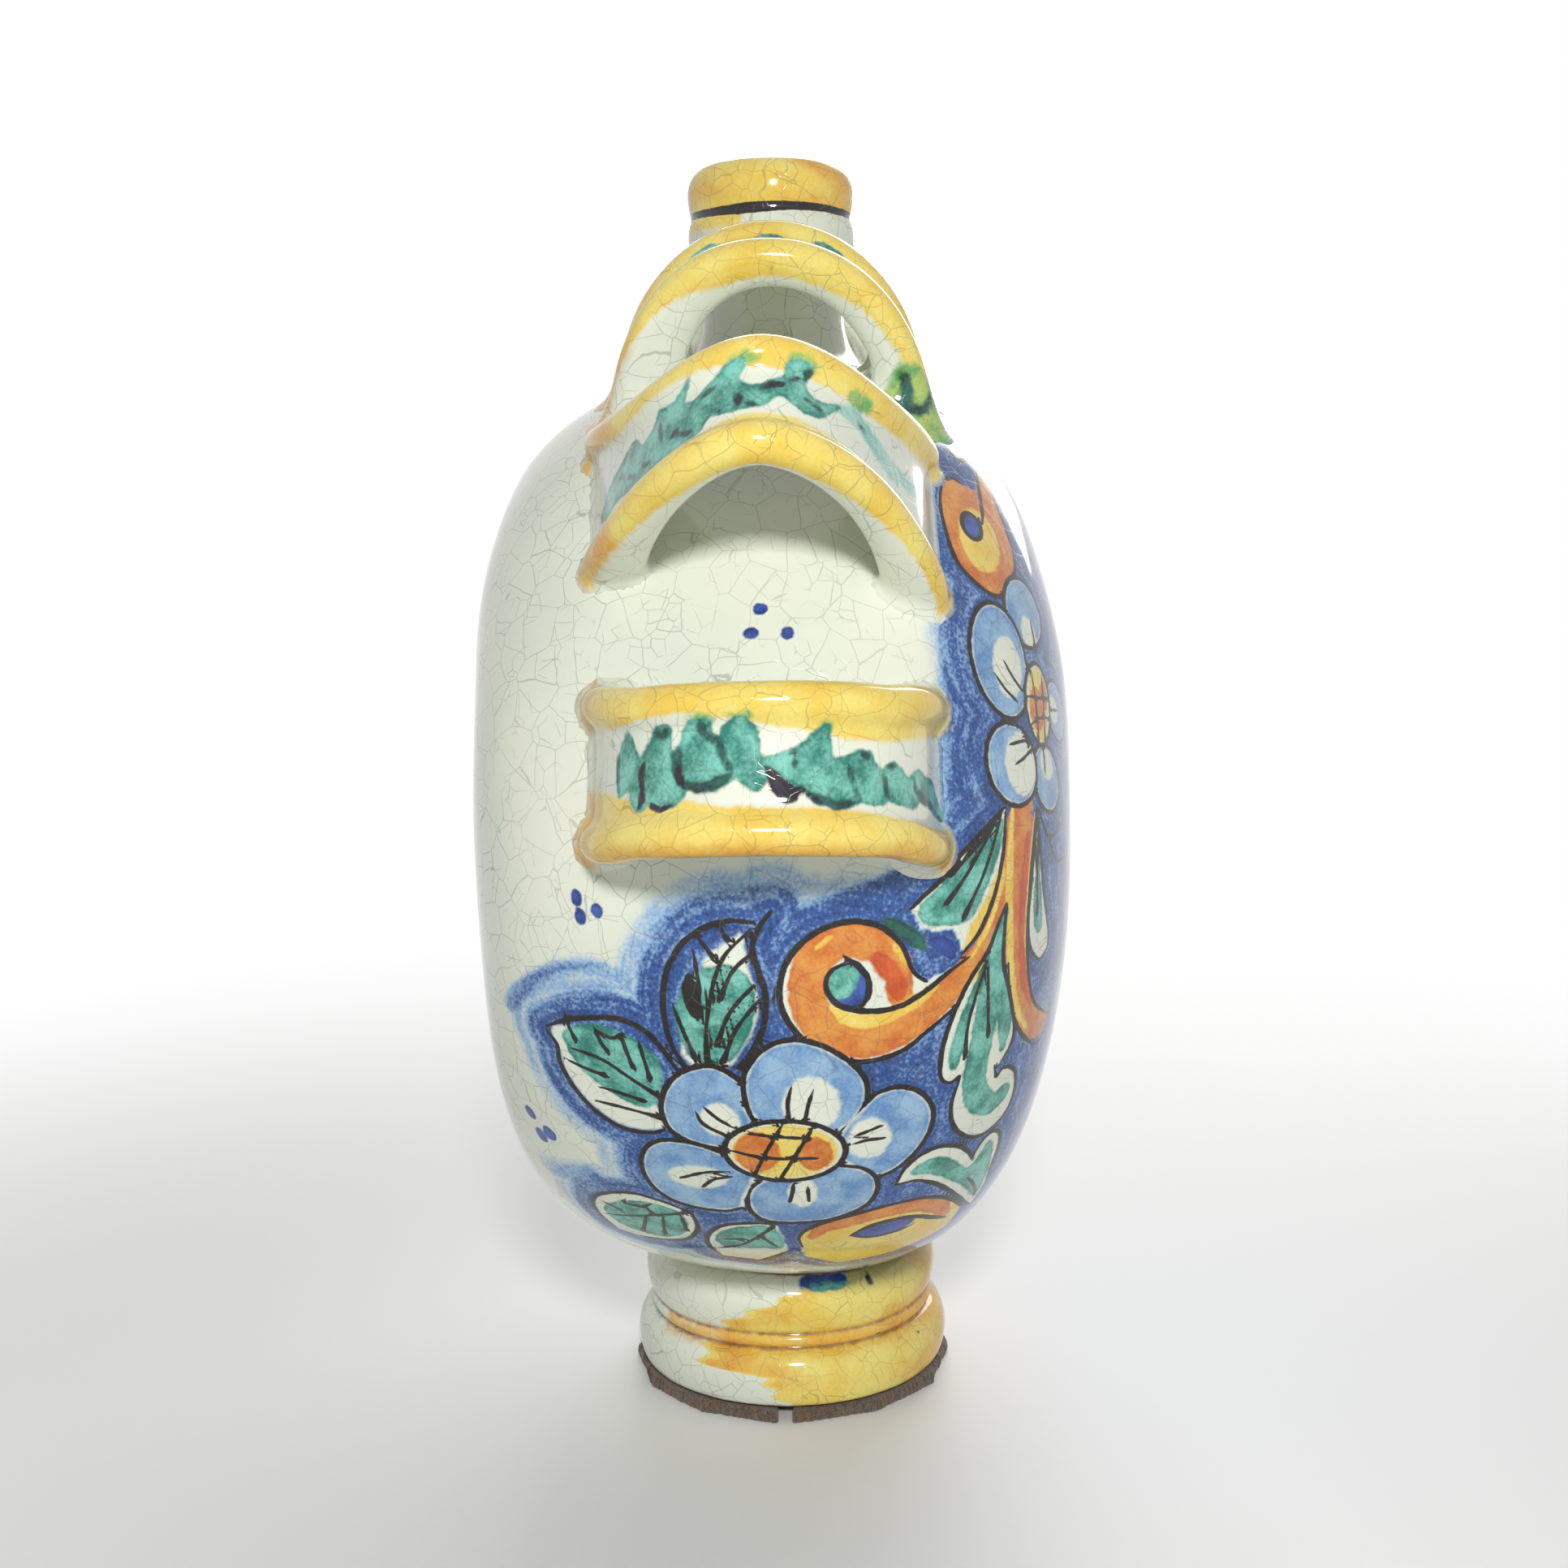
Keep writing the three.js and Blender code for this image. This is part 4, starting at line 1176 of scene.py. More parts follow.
def paint_bowl(piece, bowl):
    points = coordinates(piece)
    canvas = Canvas(rim_chart(points, bowl))
    paint_rim(canvas)
    if bowl is FRONT:
        face = Canvas(np.column_stack([points[:, 0], points[:, 2] - BODY_CENTRE]))
        paint_face(face)
        merge_layers(canvas, face)
        canvas.wash[face.motif < 0] = 0
    gap, _ = body_gap(points)
    lining = gap < -WALL / 2
    for layer in canvas.layers.values():
        layer[lining] = FAR
    canvas.wash[lining] = 0
    canvas.save(piece)
    set_coordinates(piece, hand_wobble(points))


def plain_canvas(piece, first, second):
    return Canvas(np.column_stack([values_of(piece, first), values_of(piece, second)]))


# Brushwork on the loops' bands, along the loop from its crown, positive to the front, and up the band.
SIDE_LEAVES = (
    [(-27, 8.5), (-25.5, 5), (-24, 3), (-25, 0), (-26.5, -2.5), (-30.5, -4.5), (-31.5, -3), (-31, 0),
     (-30.5, 4), (-29, 6.5)],
    [(-25, -8), (-27, -5), (-26.5, -2), (-25, 1), (-22.5, 4), (-20.5, 7), (-19, 9), (-17, 9.5), (-16, 8),
     (-16.5, 5), (-15.5, 2), (-14.5, -1.5), (-13.5, -4), (-15.5, -6.5), (-18.5, -8), (-21.5, -6.5),
     (-23, -7.5)],
    [(-15, -3.5), (-15.5, 0), (-15.5, 3), (-14.5, 5), (-13.5, 8), (-12, 10), (-10, 10.5), (-8.5, 10),
     (-8, 7), (-7, 6), (-6.5, 2.5), (-4.5, -1), (-6, -3), (-9.5, -4), (-13, -3.5)],
    [(-4.5, -1), (-6, 1.5), (-6.5, 4.5), (-6, 7.5), (-5, 9.5), (-3, 11), (-1.5, 10), (0, 8), (0.5, 5.5),
     (0.5, 3), (2, 1.5), (3.5, 0.5), (2, -2), (-0.5, -4.5), (-2.5, -3)],
    [(1.5, 1), (4.5, 2.5), (8, 4), (10.5, 6.5), (13.5, 8.5), (14, 5), (14.2, 2), (16.5, 1.5), (18, -1),
     (18.5, -4), (19.5, -6), (17.5, -7.5), (15, -8), (11.5, -7), (9.5, -5.5), (8, -4), (6, -3),
     (4, -1.5)],
    [(16.5, 1.5), (18.5, 3), (20.5, 3.5), (22.5, 3), (23, 1.5), (24.5, 0), (25.5, -2), (26, -6),
     (23.5, -7), (21, -6.5), (19.5, -6), (18.5, -3.5), (17.5, -1)],
    [(25, -0.5), (28, 1.5), (30.5, 0.5), (32.5, -1), (35, -1), (36.5, -3), (37, -5), (34, -6.5),
     (30.5, -6.5), (26.5, -6), (26, -3)],
    [(34.5, -0.5), (37.5, 0.5), (40.5, -0.5), (45, -1), (49, -3), (51.5, -6), (52, -8), (47, -6.5),
     (40, -5), (37, -5), (36, -2.5)],
)
SIDE_SMUDGE = [(1.5, 0.5), (3.5, -0.5), (5, -2), (7, -3.5), (8.5, -4), (7.5, -6), (6, -7), (4.5, -7),
               (3, -5.5), (2, -3.5)]
SIDE_SHADES = (
    ([(-31, 3.5), (-31.3, -1.5), (-30.8, -4)], 1.4), ([(-15, 4.5), (-15.2, 1.5), (-14.8, -2)], 2.4),
    ([(-7, 6), (-6.4, 2.5), (-4.8, -0.8)], 1.6), ([(-10, 10), (-9.6, 7), (-7.6, 5.5)], 1.8),
    ([(-13.5, -3), (-10.5, -3.6), (-8, -3.2), (-4.8, -1)], 2.4),
    ([(17.3, 0.6), (18.2, -2.7), (19.4, -5.8)], 1.2),
    ([(25.4, -0.8), (26, -3.5), (26.5, -6)], 1.3),
    ([(35.6, -1), (36.5, -3.5), (45, -5.5), (51.5, -7.4)], 1.6),
    ([(6.2, 2.6), (7.2, 3.2)], 1.8), ([(6.8, 0.8), (7.6, 0.9)], 1.8),
    ([(10, -5.4), (14.8, -7.4), (18, -6.8)], 2.2),
    ([(20, 3), (22, 2.4)], 1.4), ([(27, 0.8), (29, 0.8)], 1.4), ([(-20, 8), (-18, 7), (-17, 8.6)], 1.6),
)
SIDE_DARKS = (
    ([(-22.6, 2), (-23.6, -1), (-23.4, -5), (-24.8, -7.4)], 1.7),
    ([(-22, -6.4), (-19, -7.6), (-16.6, -6.8)], 1.5),
    ([(-15.1, 1), (-14.7, -2), (-13.8, -3.6)], 1.5), ([(-12.6, -3.6), (-10.5, -3.9), (-8.4, -3.6)], 0.9),
    ([(8.2, -4), (9.8, -5.4), (12, -7)], 1.0), ([(50, -6.8), (51.6, -7.7)], 0.9),
)
SHOULDER_MASS = [
    (-56, -3), (-50, 1), (-41, 3.5), (-34, 5.5), (-30, 3), (-26, 5), (-23.5, 7.5), (-18, 7.5),
    (-12.5, 10), (-15.5, 5.5), (-13, 4.5), (-9.5, 6), (-5, 9), (-1.5, 10), (-1.5, 7.5), (-2.5, 5),
    (-0.5, 2.5), (3, 3.5), (5.5, 6), (6, 9.5), (11, 10), (11, 7.5), (10.5, 4), (13, 2), (19, 4),
    (17, 1), (13.5, -2.5), (9.5, -3), (5, -0.5), (1.5, -3.5), (-4, -4), (-8.5, -3.5), (-12, -6.5),
    (-20, -6), (-28, -6.5), (-35, -6), (-42, -4), (-49, -4.5),
]
SHOULDER_TAILS = (
    ([(17, 2.4), (22.5, 4.5), (26, 3.5), (30.5, 2), (35, 0.5), (42, 0.5), (50, 2)], 2.6),
    ([(18, 2.6), (23, 2.5), (27.5, 0.5), (33, -2), (39, -2)], 2.2),
)
SHOULDER_SHADES = (
    ([(-23.5, 4.5), (-22.4, -0.4)], 2.0), ([(-2.4, 0.4), (-3, -3)], 2.6),
    ([(-1.8, -2.4), (0.6, -3.2)], 2.0),
    ([(-8.4, -1.4), (-6, -2.6)], 1.6), ([(-11, 3.4), (-7.5, 4.8)], 1.8), ([(10.2, 6), (10.8, 9)], 2.0),
    ([(-37, -1), (-33, -3)], 1.8), ([(-30, -2), (-26, -4)], 1.6), ([(-18, -2), (-13, -4.5)], 1.8),
    ([(1, 1), (4.5, 3)], 2.0), ([(7, 5), (9, 5.6)], 1.8), ([(10, 1), (14, -0.4)], 1.5),
    ([(-55.5, -2), (-52, -1)], 2.0),
    ([(24, 3), (27, 1.6)], 1.0), ([(-42, 1), (-39, 0)], 1.5),
)
SHOULDER_DARKS = (((-18, -1.3), (1.6, 0.9)), ((4.4, 2.8), (1.8, 0.8)), ((-2.7, -1.4), (1.0, 1.5)),
                  ((8.2, 5.6), (0.8, 0.7)), ((-54.5, -2), (1.2, 0.8)))
LIME_TOUCHES = {
    "side": (((-10, 10.8), (2.6, 1.2)), ((-3, 11), (2.4, 1.0)), ((13.3, 8), (1.2, 1.6))),
    "shoulder": (((-1.6, 9.4), (2.4, 1.6)), ((9, 9.8), (3.0, 1.6)), ((24, 8), (3.6, 2.2))),
    "neck": (),
}
NECK_TOUCHES = (
    [(-21, 4.6), (-16, 5.6), (-11, 5.4)], [(10, 5.6), (14.5, 5.4), (19, 4.4)], [(-3, 4.6), (3, 4.6)],
)
# Foot of a leaf that the painter ran up the front foot of the neck loop.
NECK_FOOT = [(43, -19.6), (43.6, -16.6), (46.5, -14.6), (50, -12.6), (54, -12), (57, -16), (55, -22),
             (50, -22)]
NECK_FOOT_SHADES = (
    ([(43.5, -19.4), (46.4, -19), (50, -19.6)], 2.0, 0.3, 1.2),
    ([(50.6, -21), (52, -19), (52.2, -16.6), (50.8, -14.6)], 1.8, 0.4, 0.9),
)
# Edges of the yellow on the ridges: places along the loop, and the yellow's reach towards the band there.
YELLOW_EDGES = {
    "side": ((-34, -22, -14, -7, 1, 8, 15, 26, 50), (8.6, 11.2, 12.2, 10.6, 9, 7.4, 5.8, 5.5, 7),
             (-3.6, -6.4, -5.8, -7.6, -8, -8.1, -8.3, -10, -10.4)),
    "shoulder": ((-40, -24, -14, -6, 0, 8, 15, 26, 50), (9, 10.8, 10.6, 9.3, 7.2, 6.5, 6.8, 6.8, 7),
                 (-9, -9, -8.4, -5.8, -5.3, -5.2, -6, -7, -6)),
    "neck": ((-40, 0, 40), (3.4, 3.4, 3.4), (-3.4, -3.4, -3.4)),
}
# How far the yellow reaches round the ridges to the inside, from the back foot over the crown to the front.
YELLOW_PLACES = (-45, -12, 12, 45)
YELLOW_REACH = {
    "side": (13.0, 16.6, 16.6, 13.0),
    "shoulder": (13.0, 16.6, 16.6, 13.0),
    "neck": (10.0, 17.6, 17.6, 14.5),
}


# Loop glazes: from a ridge's middle to its root on the band, bare strip over the body, where the ochre has
# pooled along and under the ridges, the ochre under the lower ridge being painted shade as well as pooled
# glaze, and the blue wash in the crease at the front foot.
RIDGE_ROOT = 6.3
BARE_STRIP = 0.7
OCHRE_START = -40.0
OCHRE_AND_SHADE_DEPTH = 10.5
CREASE_WASH = 0.7
CREASE_START = 30.0
CREASE_FULL = 42.0
CREASE_HEIGHT = 1.2
CREASE_SIDE = 17.0


def paint_loop(piece, kind):
    """Yellow ridges on a white band, with green brushwork between them and a bare inside."""
    canvas = plain_canvas(piece, "along", "around")
    along, around = canvas.chart.T
    places, upper, lower = YELLOW_EDGES[kind]
    band = LOOPS[kind]["spacing"] / 2 - RIDGE_ROOT
    under = band + np.interp(along, YELLOW_PLACES, YELLOW_REACH[kind])
    gap, _ = body_gap(coordinates(piece))
    beside_band = np.where(around > 0, np.interp(along, places, upper) - around,
                           around - np.interp(along, places, lower))
    canvas.layers["yellow"] = np.maximum.reduce([beside_band, np.abs(around) - under, BARE_STRIP - gap])
    pooled = along - OCHRE_START
    # Ochre under the side loop's lower ridge: pooled glaze, and painted shade beneath the ridge.
    if kind == "side":
        pooled = np.minimum(pooled, around + band + OCHRE_AND_SHADE_DEPTH)
    canvas.layers["ochre"] = np.maximum(canvas.layers["yellow"], pooled)
    crease = np.clip(1.2 - gap / CREASE_HEIGHT, 0, 1) * (np.abs(around) < CREASE_SIDE)
    canvas.wash = CREASE_WASH * smoothstep(along, CREASE_START, CREASE_FULL) * crease
    for centre, size in LIME_TOUCHES[kind]:
        canvas.blot("lime", oval(centre, size))
    if kind == "side":
        for leaf in SIDE_LEAVES:
            canvas.blot("green", curve(leaf, closed=True), -0.3)
        for path, width in SIDE_SHADES:
            canvas.stroke("deep", curve(path), width)
        for path, width in SIDE_DARKS:
            canvas.stroke("dark", curve(path), width)
        canvas.blot("green", oval((1.6, 0.2), (2.6, 2.2)))
        canvas.blot("dark", curve(SIDE_SMUDGE, closed=True))
    if kind == "shoulder":
        canvas.blot("green", curve(SHOULDER_MASS, closed=True))
        for path, width in SHOULDER_TAILS:
            canvas.stroke("pale_green", curve(path), width, 0.8, 0.5)
        for path, width in SHOULDER_SHADES:
            canvas.stroke("deep", curve(path), 0.8 * width)
        for centre, size in SHOULDER_DARKS:
            canvas.blot("dark", oval(centre, size, 20))
    if kind == "neck":
        for path in NECK_TOUCHES:
            canvas.stroke("green", curve(path), 3.0, 0.3, 0.3)
        canvas.blot("lime", curve(NECK_FOOT, closed=True), -0.8)
        for path, *widths in NECK_FOOT_SHADES:
            canvas.stroke("deep", curve(path), *widths)
    canvas.save(piece)


def side_angle(piece):
    """Angle round the axis from the middle of the side, positive to the front."""
    turn = values_of(piece, "turn")
    return np.arctan2(-np.sin(turn), np.abs(np.cos(turn)))


def patches(angle, level, turns, rise, phase):
    """Wandering patches where a second coat was brushed on, as a distance like a canvas layer's."""
    return 3.0 * np.sin(turns * angle + phase) + 2.0 * np.sin(rise * level + 2 * angle) + 1.0


# The dark line under the lip, with the place and angle of its wider stretch, and the yellow that has run
# over it at the back.
LINE_SWAY = 0.3
LINE_WIDTH = 1.9
LINE_SWELL = 0.9
LINE_SWELL_PLACE = -0.25
LINE_SWELL_ANGLE = 0.45
RUN_DROP = 1.5
RUN_HALF = 2.5
RUN_END = -0.35


def paint_neck(piece):
    """Yellow lip over a dark line, and a white bead with a yellow touch at the back."""
    canvas = plain_canvas(piece, "turn", "level")
    level = canvas.chart[:, 1]
    angle = side_angle(piece)
    outside = np.hypot(*coordinates(piece)[:, :2].T) > NECK_BORE_RADIUS + 1
    line = LIP_BOTTOM + LINE_SWAY * np.sin(3 * angle + 0.5)
    width = LINE_WIDTH + LINE_SWELL * np.exp(-((angle - LINE_SWELL_PLACE) / LINE_SWELL_ANGLE) ** 2)
    below = np.maximum(np.abs(level - line + RUN_DROP) - RUN_HALF, (angle - RUN_END) * NECK_BEAD_RADIUS)
    canvas.layers["yellow"] = np.minimum(line - level, below)
    canvas.layers["ochre"] = np.maximum(canvas.layers["yellow"], patches(angle, level, 2.3, 0.5, 2.2))
    canvas.layers["ink"] = np.where(outside, np.abs(level - line) - width / 2, FAR)
    canvas.ink_side = level - line
    canvas.ink_half = width / 2
    canvas.save(piece)


def spot(angle, level, place, size):
    """Distance outside an oval on the foot, from its angle and level and its half sizes."""
    across = (angle - place[0]) * FOOT_GROOVE_RADIUS / size[0]
    return (np.hypot(across, (level - place[1]) / size[1]) - 1) * min(size)


# Level and angle where the foot's yellow starts on the upper and the lower bead, the ochre fillet, and the
# place and half sizes of the brush marks and pits. Glaze is missing at the edge and thin in the grooves,
# where the clay colour is also painted shade.
UPPER_STARTS = (
    (UPPER_BEAD_BOTTOM, -0.48), (UPPER_BEAD_BOTTOM + 3, -0.44), (UPPER_BEAD_BOTTOM + 6, -0.28),
    (FOOT_TOP - 4, 0.04), (FOOT_TOP, 0.16),
)
LOWER_STARTS = (
    (FOOT_BOTTOM, 0.0), (FOOT_BOTTOM + 4, -0.12), (FILLET_BOTTOM - 6, -0.18),
    (FILLET_BOTTOM - 5, -0.60), (FILLET_BOTTOM - 1, -0.58),
)
START_SWAY = 0.04
FILLET_HALF = 1.9
FILLET_START = -1.0
SECOND_COAT = 3.0
FOOT_BLUE = ((0.24, FOOT_TOP - 2.0), (6.6, 1.9))
FOOT_GREEN = ((0.29, FOOT_TOP - 3.1), (5.4, 0.9))
FOOT_PITS = (
    ((0.57, FOOT_TOP - 3.2), (0.9, 1.6)),
    ((0.62, FILLET_BOTTOM + 0.6), (0.7, 0.5)),
    ((0.96, FILLET_BOTTOM - 2.4), (0.4, 0.4)),
)
BARE_EDGE = 0.8
BARE_AND_SHADED_GROOVE = 0.25


def paint_foot(piece):
    """White at the back and yellow to the front, with an ochre fillet, a brush of blue and a few pits."""
    canvas = plain_canvas(piece, "turn", "level")
    level = canvas.chart[:, 1]
    angle = side_angle(piece)
    upper, lower = (np.interp(level, *zip(*starts)) for starts in (UPPER_STARTS, LOWER_STARTS))
    edge = np.where(level > FILLET_BOTTOM, upper, lower) + START_SWAY * np.sin(level * 1.7)
    fillet = np.abs(level - (FILLET_BOTTOM + UPPER_BEAD_BOTTOM) / 2) - FILLET_HALF
    fillet = np.maximum(fillet, (FILLET_START - angle) * FOOT_GROOVE_RADIUS)
    canvas.layers["yellow"] = (edge - angle) * FOOT_GROOVE_RADIUS
    second_coat = np.maximum(canvas.layers["yellow"] + SECOND_COAT, patches(angle, level, 3.1, 0.4, 0.4))
    canvas.layers["ochre"] = np.minimum(fillet, second_coat)
    canvas.layers["blue"] = spot(angle, level, *FOOT_BLUE)
    canvas.layers["green"] = spot(angle, level, *FOOT_GREEN)
    canvas.layers["dark"] = np.minimum.reduce([spot(angle, level, *pit) for pit in FOOT_PITS])
    # Clay colour in the grooves and in the crease under the body, wider to the front: thin glaze over the
    # clay, and painted shade in these hollows.
    grooves = np.minimum(np.abs(level - FILLET_BOTTOM), np.abs(level - UPPER_BEAD_BOTTOM)) - BARE_AND_SHADED_GROOVE
    gap, _ = body_gap(coordinates(piece))
    crease = gap - np.interp(angle, (-0.6, 0.3), (0.2, 0.9))
    canvas.layers["clay"] = np.minimum.reduce([level - FOOT_BOTTOM - BARE_EDGE, grooves, crease])
    canvas.save(piece)


# Materials.
def srgb(code):
    channels = [int(code[i:i + 2], 16) / 255 for i in (1, 3, 5)]
    linear = [c / 12.92 if c <= 0.04045 else ((c + 0.055) / 1.055) ** 2.4 for c in channels]
    return (*linear, 1.0)


def node(tree, kind, inputs=(), output=0, **settings):
    """Adds a node with its settings and gives one of its outputs. The inputs, in order or by name, are
    values or sockets to link."""
    made = tree.nodes.new("ShaderNode" + kind)
    for name, value in settings.items():
        setattr(made, name, value)
    for name, value in inputs.items() if isinstance(inputs, dict) else enumerate(inputs):
        if isinstance(value, bpy.types.NodeSocket):
            tree.links.new(value, made.inputs[name])
        else:
            made.inputs[name].default_value = value
    return made.outputs[output] if len(made.outputs) else None


def new_material(name):
    """A material and its empty node tree."""
    material = bpy.data.materials.new(name)
    material.use_nodes = True
    material.node_tree.nodes.clear()
    return material, material.node_tree


def per_mm(size):
    """Texture scale for a feature of this many millimetres."""
    return 1 / (size * MM)


# Settings of smooth steps and colour mixes, and the sockets of a colour mix.
SMOOTH = {"interpolation_type": "SMOOTHSTEP"}
COLOUR_MIX = {"data_type": "RGBA", "output": 2}
FACTOR, UNDER, OVER = 0, 6, 7
# Size in millimetres and detail of the textures in the glaze.
GLAZE_TEXTURES = {
    "cloud": (38.0, 2.0),
    "brush": (5.5, 4.0),
    "grain": (0.8, 3.0),
    "ragged": (2.2, 2.0),
    "swell": (9.0, 1.0),
    "gloss": (14.0, 2.0),
    "wander": (6.0, 2.0),
}
STREAK_LENGTH = 24.0
STREAK_WIDTH = 1.7
# How textures thin and thicken the blue wash: range of the texture, least and most.
WASH_TEXTURES = (
    ("brush", 0.25, 0.75, 0.80, 1.14),
    ("streak", 0.3, 0.7, 0.70, 1.18),
    ("grain", 0.3, 0.7, 0.70, 1.18),
)
WASH_THIN = "#90B6DC"
WASH_SHADES = ((0.32, 0.88, "#2D5498"), (0.90, 1.25, "#193870"))
WASH_EDGE = (0.02, 0.46)
INK_REACH = 0.4
POOL_EDGE = (-1.4, -0.2)
POOL_DEPTH = 0.3
# Crackle: cell size and width of the cracks in millimetres, and the range of noise that breaks them off.
CRACKS = ((8.0, 0.12, 0.28, 0.44), (5.0, 0.09, 0.46, 0.58))
CRACKLE_WANDER = 0.0013
CRACKLE_SHIFT = (0.004, 0.002, 0.003)
CRACK_DEPTH = 0.02
SWELL_HEIGHT = 0.10


def tin_glaze():
    """White tin glaze on earthenware: thick and glossy, greenish white, finely crackled, with the colours
    brushed into it before firing, so they pool, streak and bleed a little at their edges."""
    material, tree = new_material("tin_glazed_earthenware")
    place = node(tree, "TexCoord", output="Object")
    texture = {}
    for name, (size, detail) in GLAZE_TEXTURES.items():
        noise = {"Vector": place, "Scale": per_mm(size), "Detail": detail}
        texture[name] = node(tree, "TexNoise", noise, "Color" if name == "wander" else 0)
    painted = {}
    for name in (*PAINTS, "wash", "motif", "ink_side", "ink_half"):
        painted[name] = node(tree, "Attribute", output="Fac", attribute_name=name)

    # White in two tones.
    share = node(tree, "MapRange", (texture["cloud"], 0.35, 0.65), **SMOOTH)
    colour = node(tree, "Mix", {FACTOR: share, UNDER: srgb("#E9ECDA"), OVER: srgb("#DFE6D6")}, **COLOUR_MIX)

    # Blue wash, streaked along the outlines of the motifs.
    across = node(tree, "Math", (painted["motif"], STREAK_LENGTH * MM / STREAK_WIDTH), operation="MULTIPLY")
    streak = {"Vector": place, "Scale": per_mm(STREAK_LENGTH), "Detail": 2.0, "W": across}
    texture["streak"] = node(tree, "TexNoise", streak, noise_dimensions="4D")
    dense = painted["wash"]
    for name, *spread in WASH_TEXTURES:
        share = node(tree, "MapRange", (texture[name], *spread), **SMOOTH)
        dense = node(tree, "Math", (dense, share), operation="MULTIPLY")
    wash = srgb(WASH_THIN)
    for low, high, shade in WASH_SHADES:
        share = node(tree, "MapRange", (dense, low, high), **SMOOTH)
        wash = node(tree, "Mix", {FACTOR: share, UNDER: wash, OVER: srgb(shade)}, **COLOUR_MIX)
    share = node(tree, "MapRange", (dense, *WASH_EDGE), **SMOOTH)
    colour = node(tree, "Mix", {FACTOR: share, UNDER: colour, OVER: wash}, **COLOUR_MIX)

    # Brushwork, colour over colour. A line of ink keeps its width between the vertices.
    bleed = node(tree, "Math", (texture["ragged"], 0.5), operation="SUBTRACT")
    grain = node(tree, "MapRange", (texture["grain"], 0.35, 0.65, -0.16, 0.16), **SMOOTH)
    marks = {}
    for size in sorted({paint[4] for paint in PAINTS.values()}):
        mark = node(tree, "TexNoise", {"Vector": place, "Scale": per_mm(size), "Detail": 3.0})
        mark = node(tree, "MapRange", (mark, 0.3, 0.72), **SMOOTH)
        marks[size] = node(tree, "Math", (mark, grain), operation="ADD")
    side = node(tree, "Math", (painted["ink_side"],), operation="ABSOLUTE")
    line = node(tree, "Math", (side, painted["ink_half"]), operation="SUBTRACT")
    reach = node(tree, "Math", (painted["ink"], INK_REACH), operation="SUBTRACT")
    painted["ink"] = node(tree, "Math", (line, reach), operation="MAXIMUM")
    for name, (thin, thick, softness, rag, mark) in PAINTS.items():
        frayed = node(tree, "Math", (bleed, 2 * rag), operation="MULTIPLY")
        edge = node(tree, "Math", (painted[name], frayed), operation="ADD")
        share = node(tree, "MapRange", (edge, softness / 2, -softness / 2), **SMOOTH)
        pooled = node(tree, "MapRange", (edge, *POOL_EDGE, 0.0, POOL_DEPTH), **SMOOTH)
        body = node(tree, "Math", (marks[mark], pooled), operation="ADD")
        paint = node(tree, "Mix", {FACTOR: body, UNDER: srgb(thin), OVER: srgb(thick)}, **COLOUR_MIX)
        colour = node(tree, "Mix", {FACTOR: share, UNDER: colour, OVER: paint}, **COLOUR_MIX)

    # Crackle: fine dark cracks round the cells, broken and wandering.
    shifted = node(tree, "Mix", {0: CRACKLE_WANDER, 4: place, 5: texture["wander"]}, 1, data_type="VECTOR")
    shifted = node(tree, "VectorMath", (shifted, CRACKLE_SHIFT), operation="ADD")
    cracks = 0.0
    for size, width, low, high in CRACKS:
        cell = {"Vector": shifted, "Scale": per_mm(size)}
        cell = node(tree, "TexVoronoi", cell, "Distance", feature="DISTANCE_TO_EDGE")
        line = node(tree, "MapRange", (cell, 0.4 * width / size, width / size, 1.0, 0.0), **SMOOTH)
        kept = node(tree, "TexNoise", {"Vector": place, "Scale": per_mm(size * 1.4), "Detail": 2.0})
        kept = node(tree, "MapRange", (kept, low, high), **SMOOTH)
        line = node(tree, "Math", (line, kept), operation="MULTIPLY")
        cracks = node(tree, "Math", (cracks, line), operation="MAXIMUM")
    share = node(tree, "MapRange", (texture["cloud"], 0.3, 0.7, 0.27, 0.46), **SMOOTH)
    share = node(tree, "Math", (cracks, share), operation="MULTIPLY")
    colour = node(tree, "Mix", {FACTOR: share, UNDER: colour, OVER: srgb("#5E584E")}, **COLOUR_MIX)

    swell = node(tree, "Math", (texture["swell"], SWELL_HEIGHT), operation="MULTIPLY")
    sunk = node(tree, "Math", (cracks, -CRACK_DEPTH), operation="MULTIPLY")
    height = node(tree, "Math", (swell, sunk), operation="ADD")
    bump = node(tree, "Bump", {"Height": height, "Strength": 0.5, "Distance": 1.0 * MM})
    rough = node(tree, "MapRange", (texture["gloss"], 0.3, 0.7, 0.07, 0.13), **SMOOTH)
    surface = {"Base Color": colour, "Roughness": rough, "Normal": bump, "IOR": 1.5}
    node(tree, "OutputMaterial", {"Surface": node(tree, "BsdfPrincipled", surface)})
    return material


FELT_GREY = ("#443D36", "#7A6E62")
FELT_BROWN = ("#4E3E30", "#86694C")


def wool_felt():
    """Pressed wool felt: matt, a mottle of grey and brown fibres with a soft fuzz."""
    material, tree = new_material("pressed_wool_felt")
    place = node(tree, "TexCoord", output="Object")
    fibre = node(tree, "TexNoise", {"Vector": place, "Scale": per_mm(0.9), "Detail": 4.0, "Distortion": 2.0})
    mottle = node(tree, "TexNoise", {"Vector": place, "Scale": per_mm(4.0)})
    share = node(tree, "MapRange", (fibre, 0.35, 0.65))
    tint = node(tree, "MapRange", (mottle, 0.35, 0.65))
    tones = []
    for dark, pale in (FELT_GREY, FELT_BROWN):
        tones.append(node(tree, "Mix", {FACTOR: share, UNDER: srgb(dark), OVER: srgb(pale)}, **COLOUR_MIX))
    colour = node(tree, "Mix", {FACTOR: tint, UNDER: tones[0], OVER: tones[1]}, **COLOUR_MIX)
    bump = node(tree, "Bump", {"Height": fibre, "Strength": 0.8, "Distance": 0.5 * MM})
    surface = {"Base Color": colour, "Roughness": 0.95, "Normal": bump, "Sheen Weight": 0.3}
    node(tree, "OutputMaterial", {"Surface": node(tree, "BsdfPrincipled", surface)})
    return material


# The flask.
glaze = tin_glaze()
felt = wool_felt()


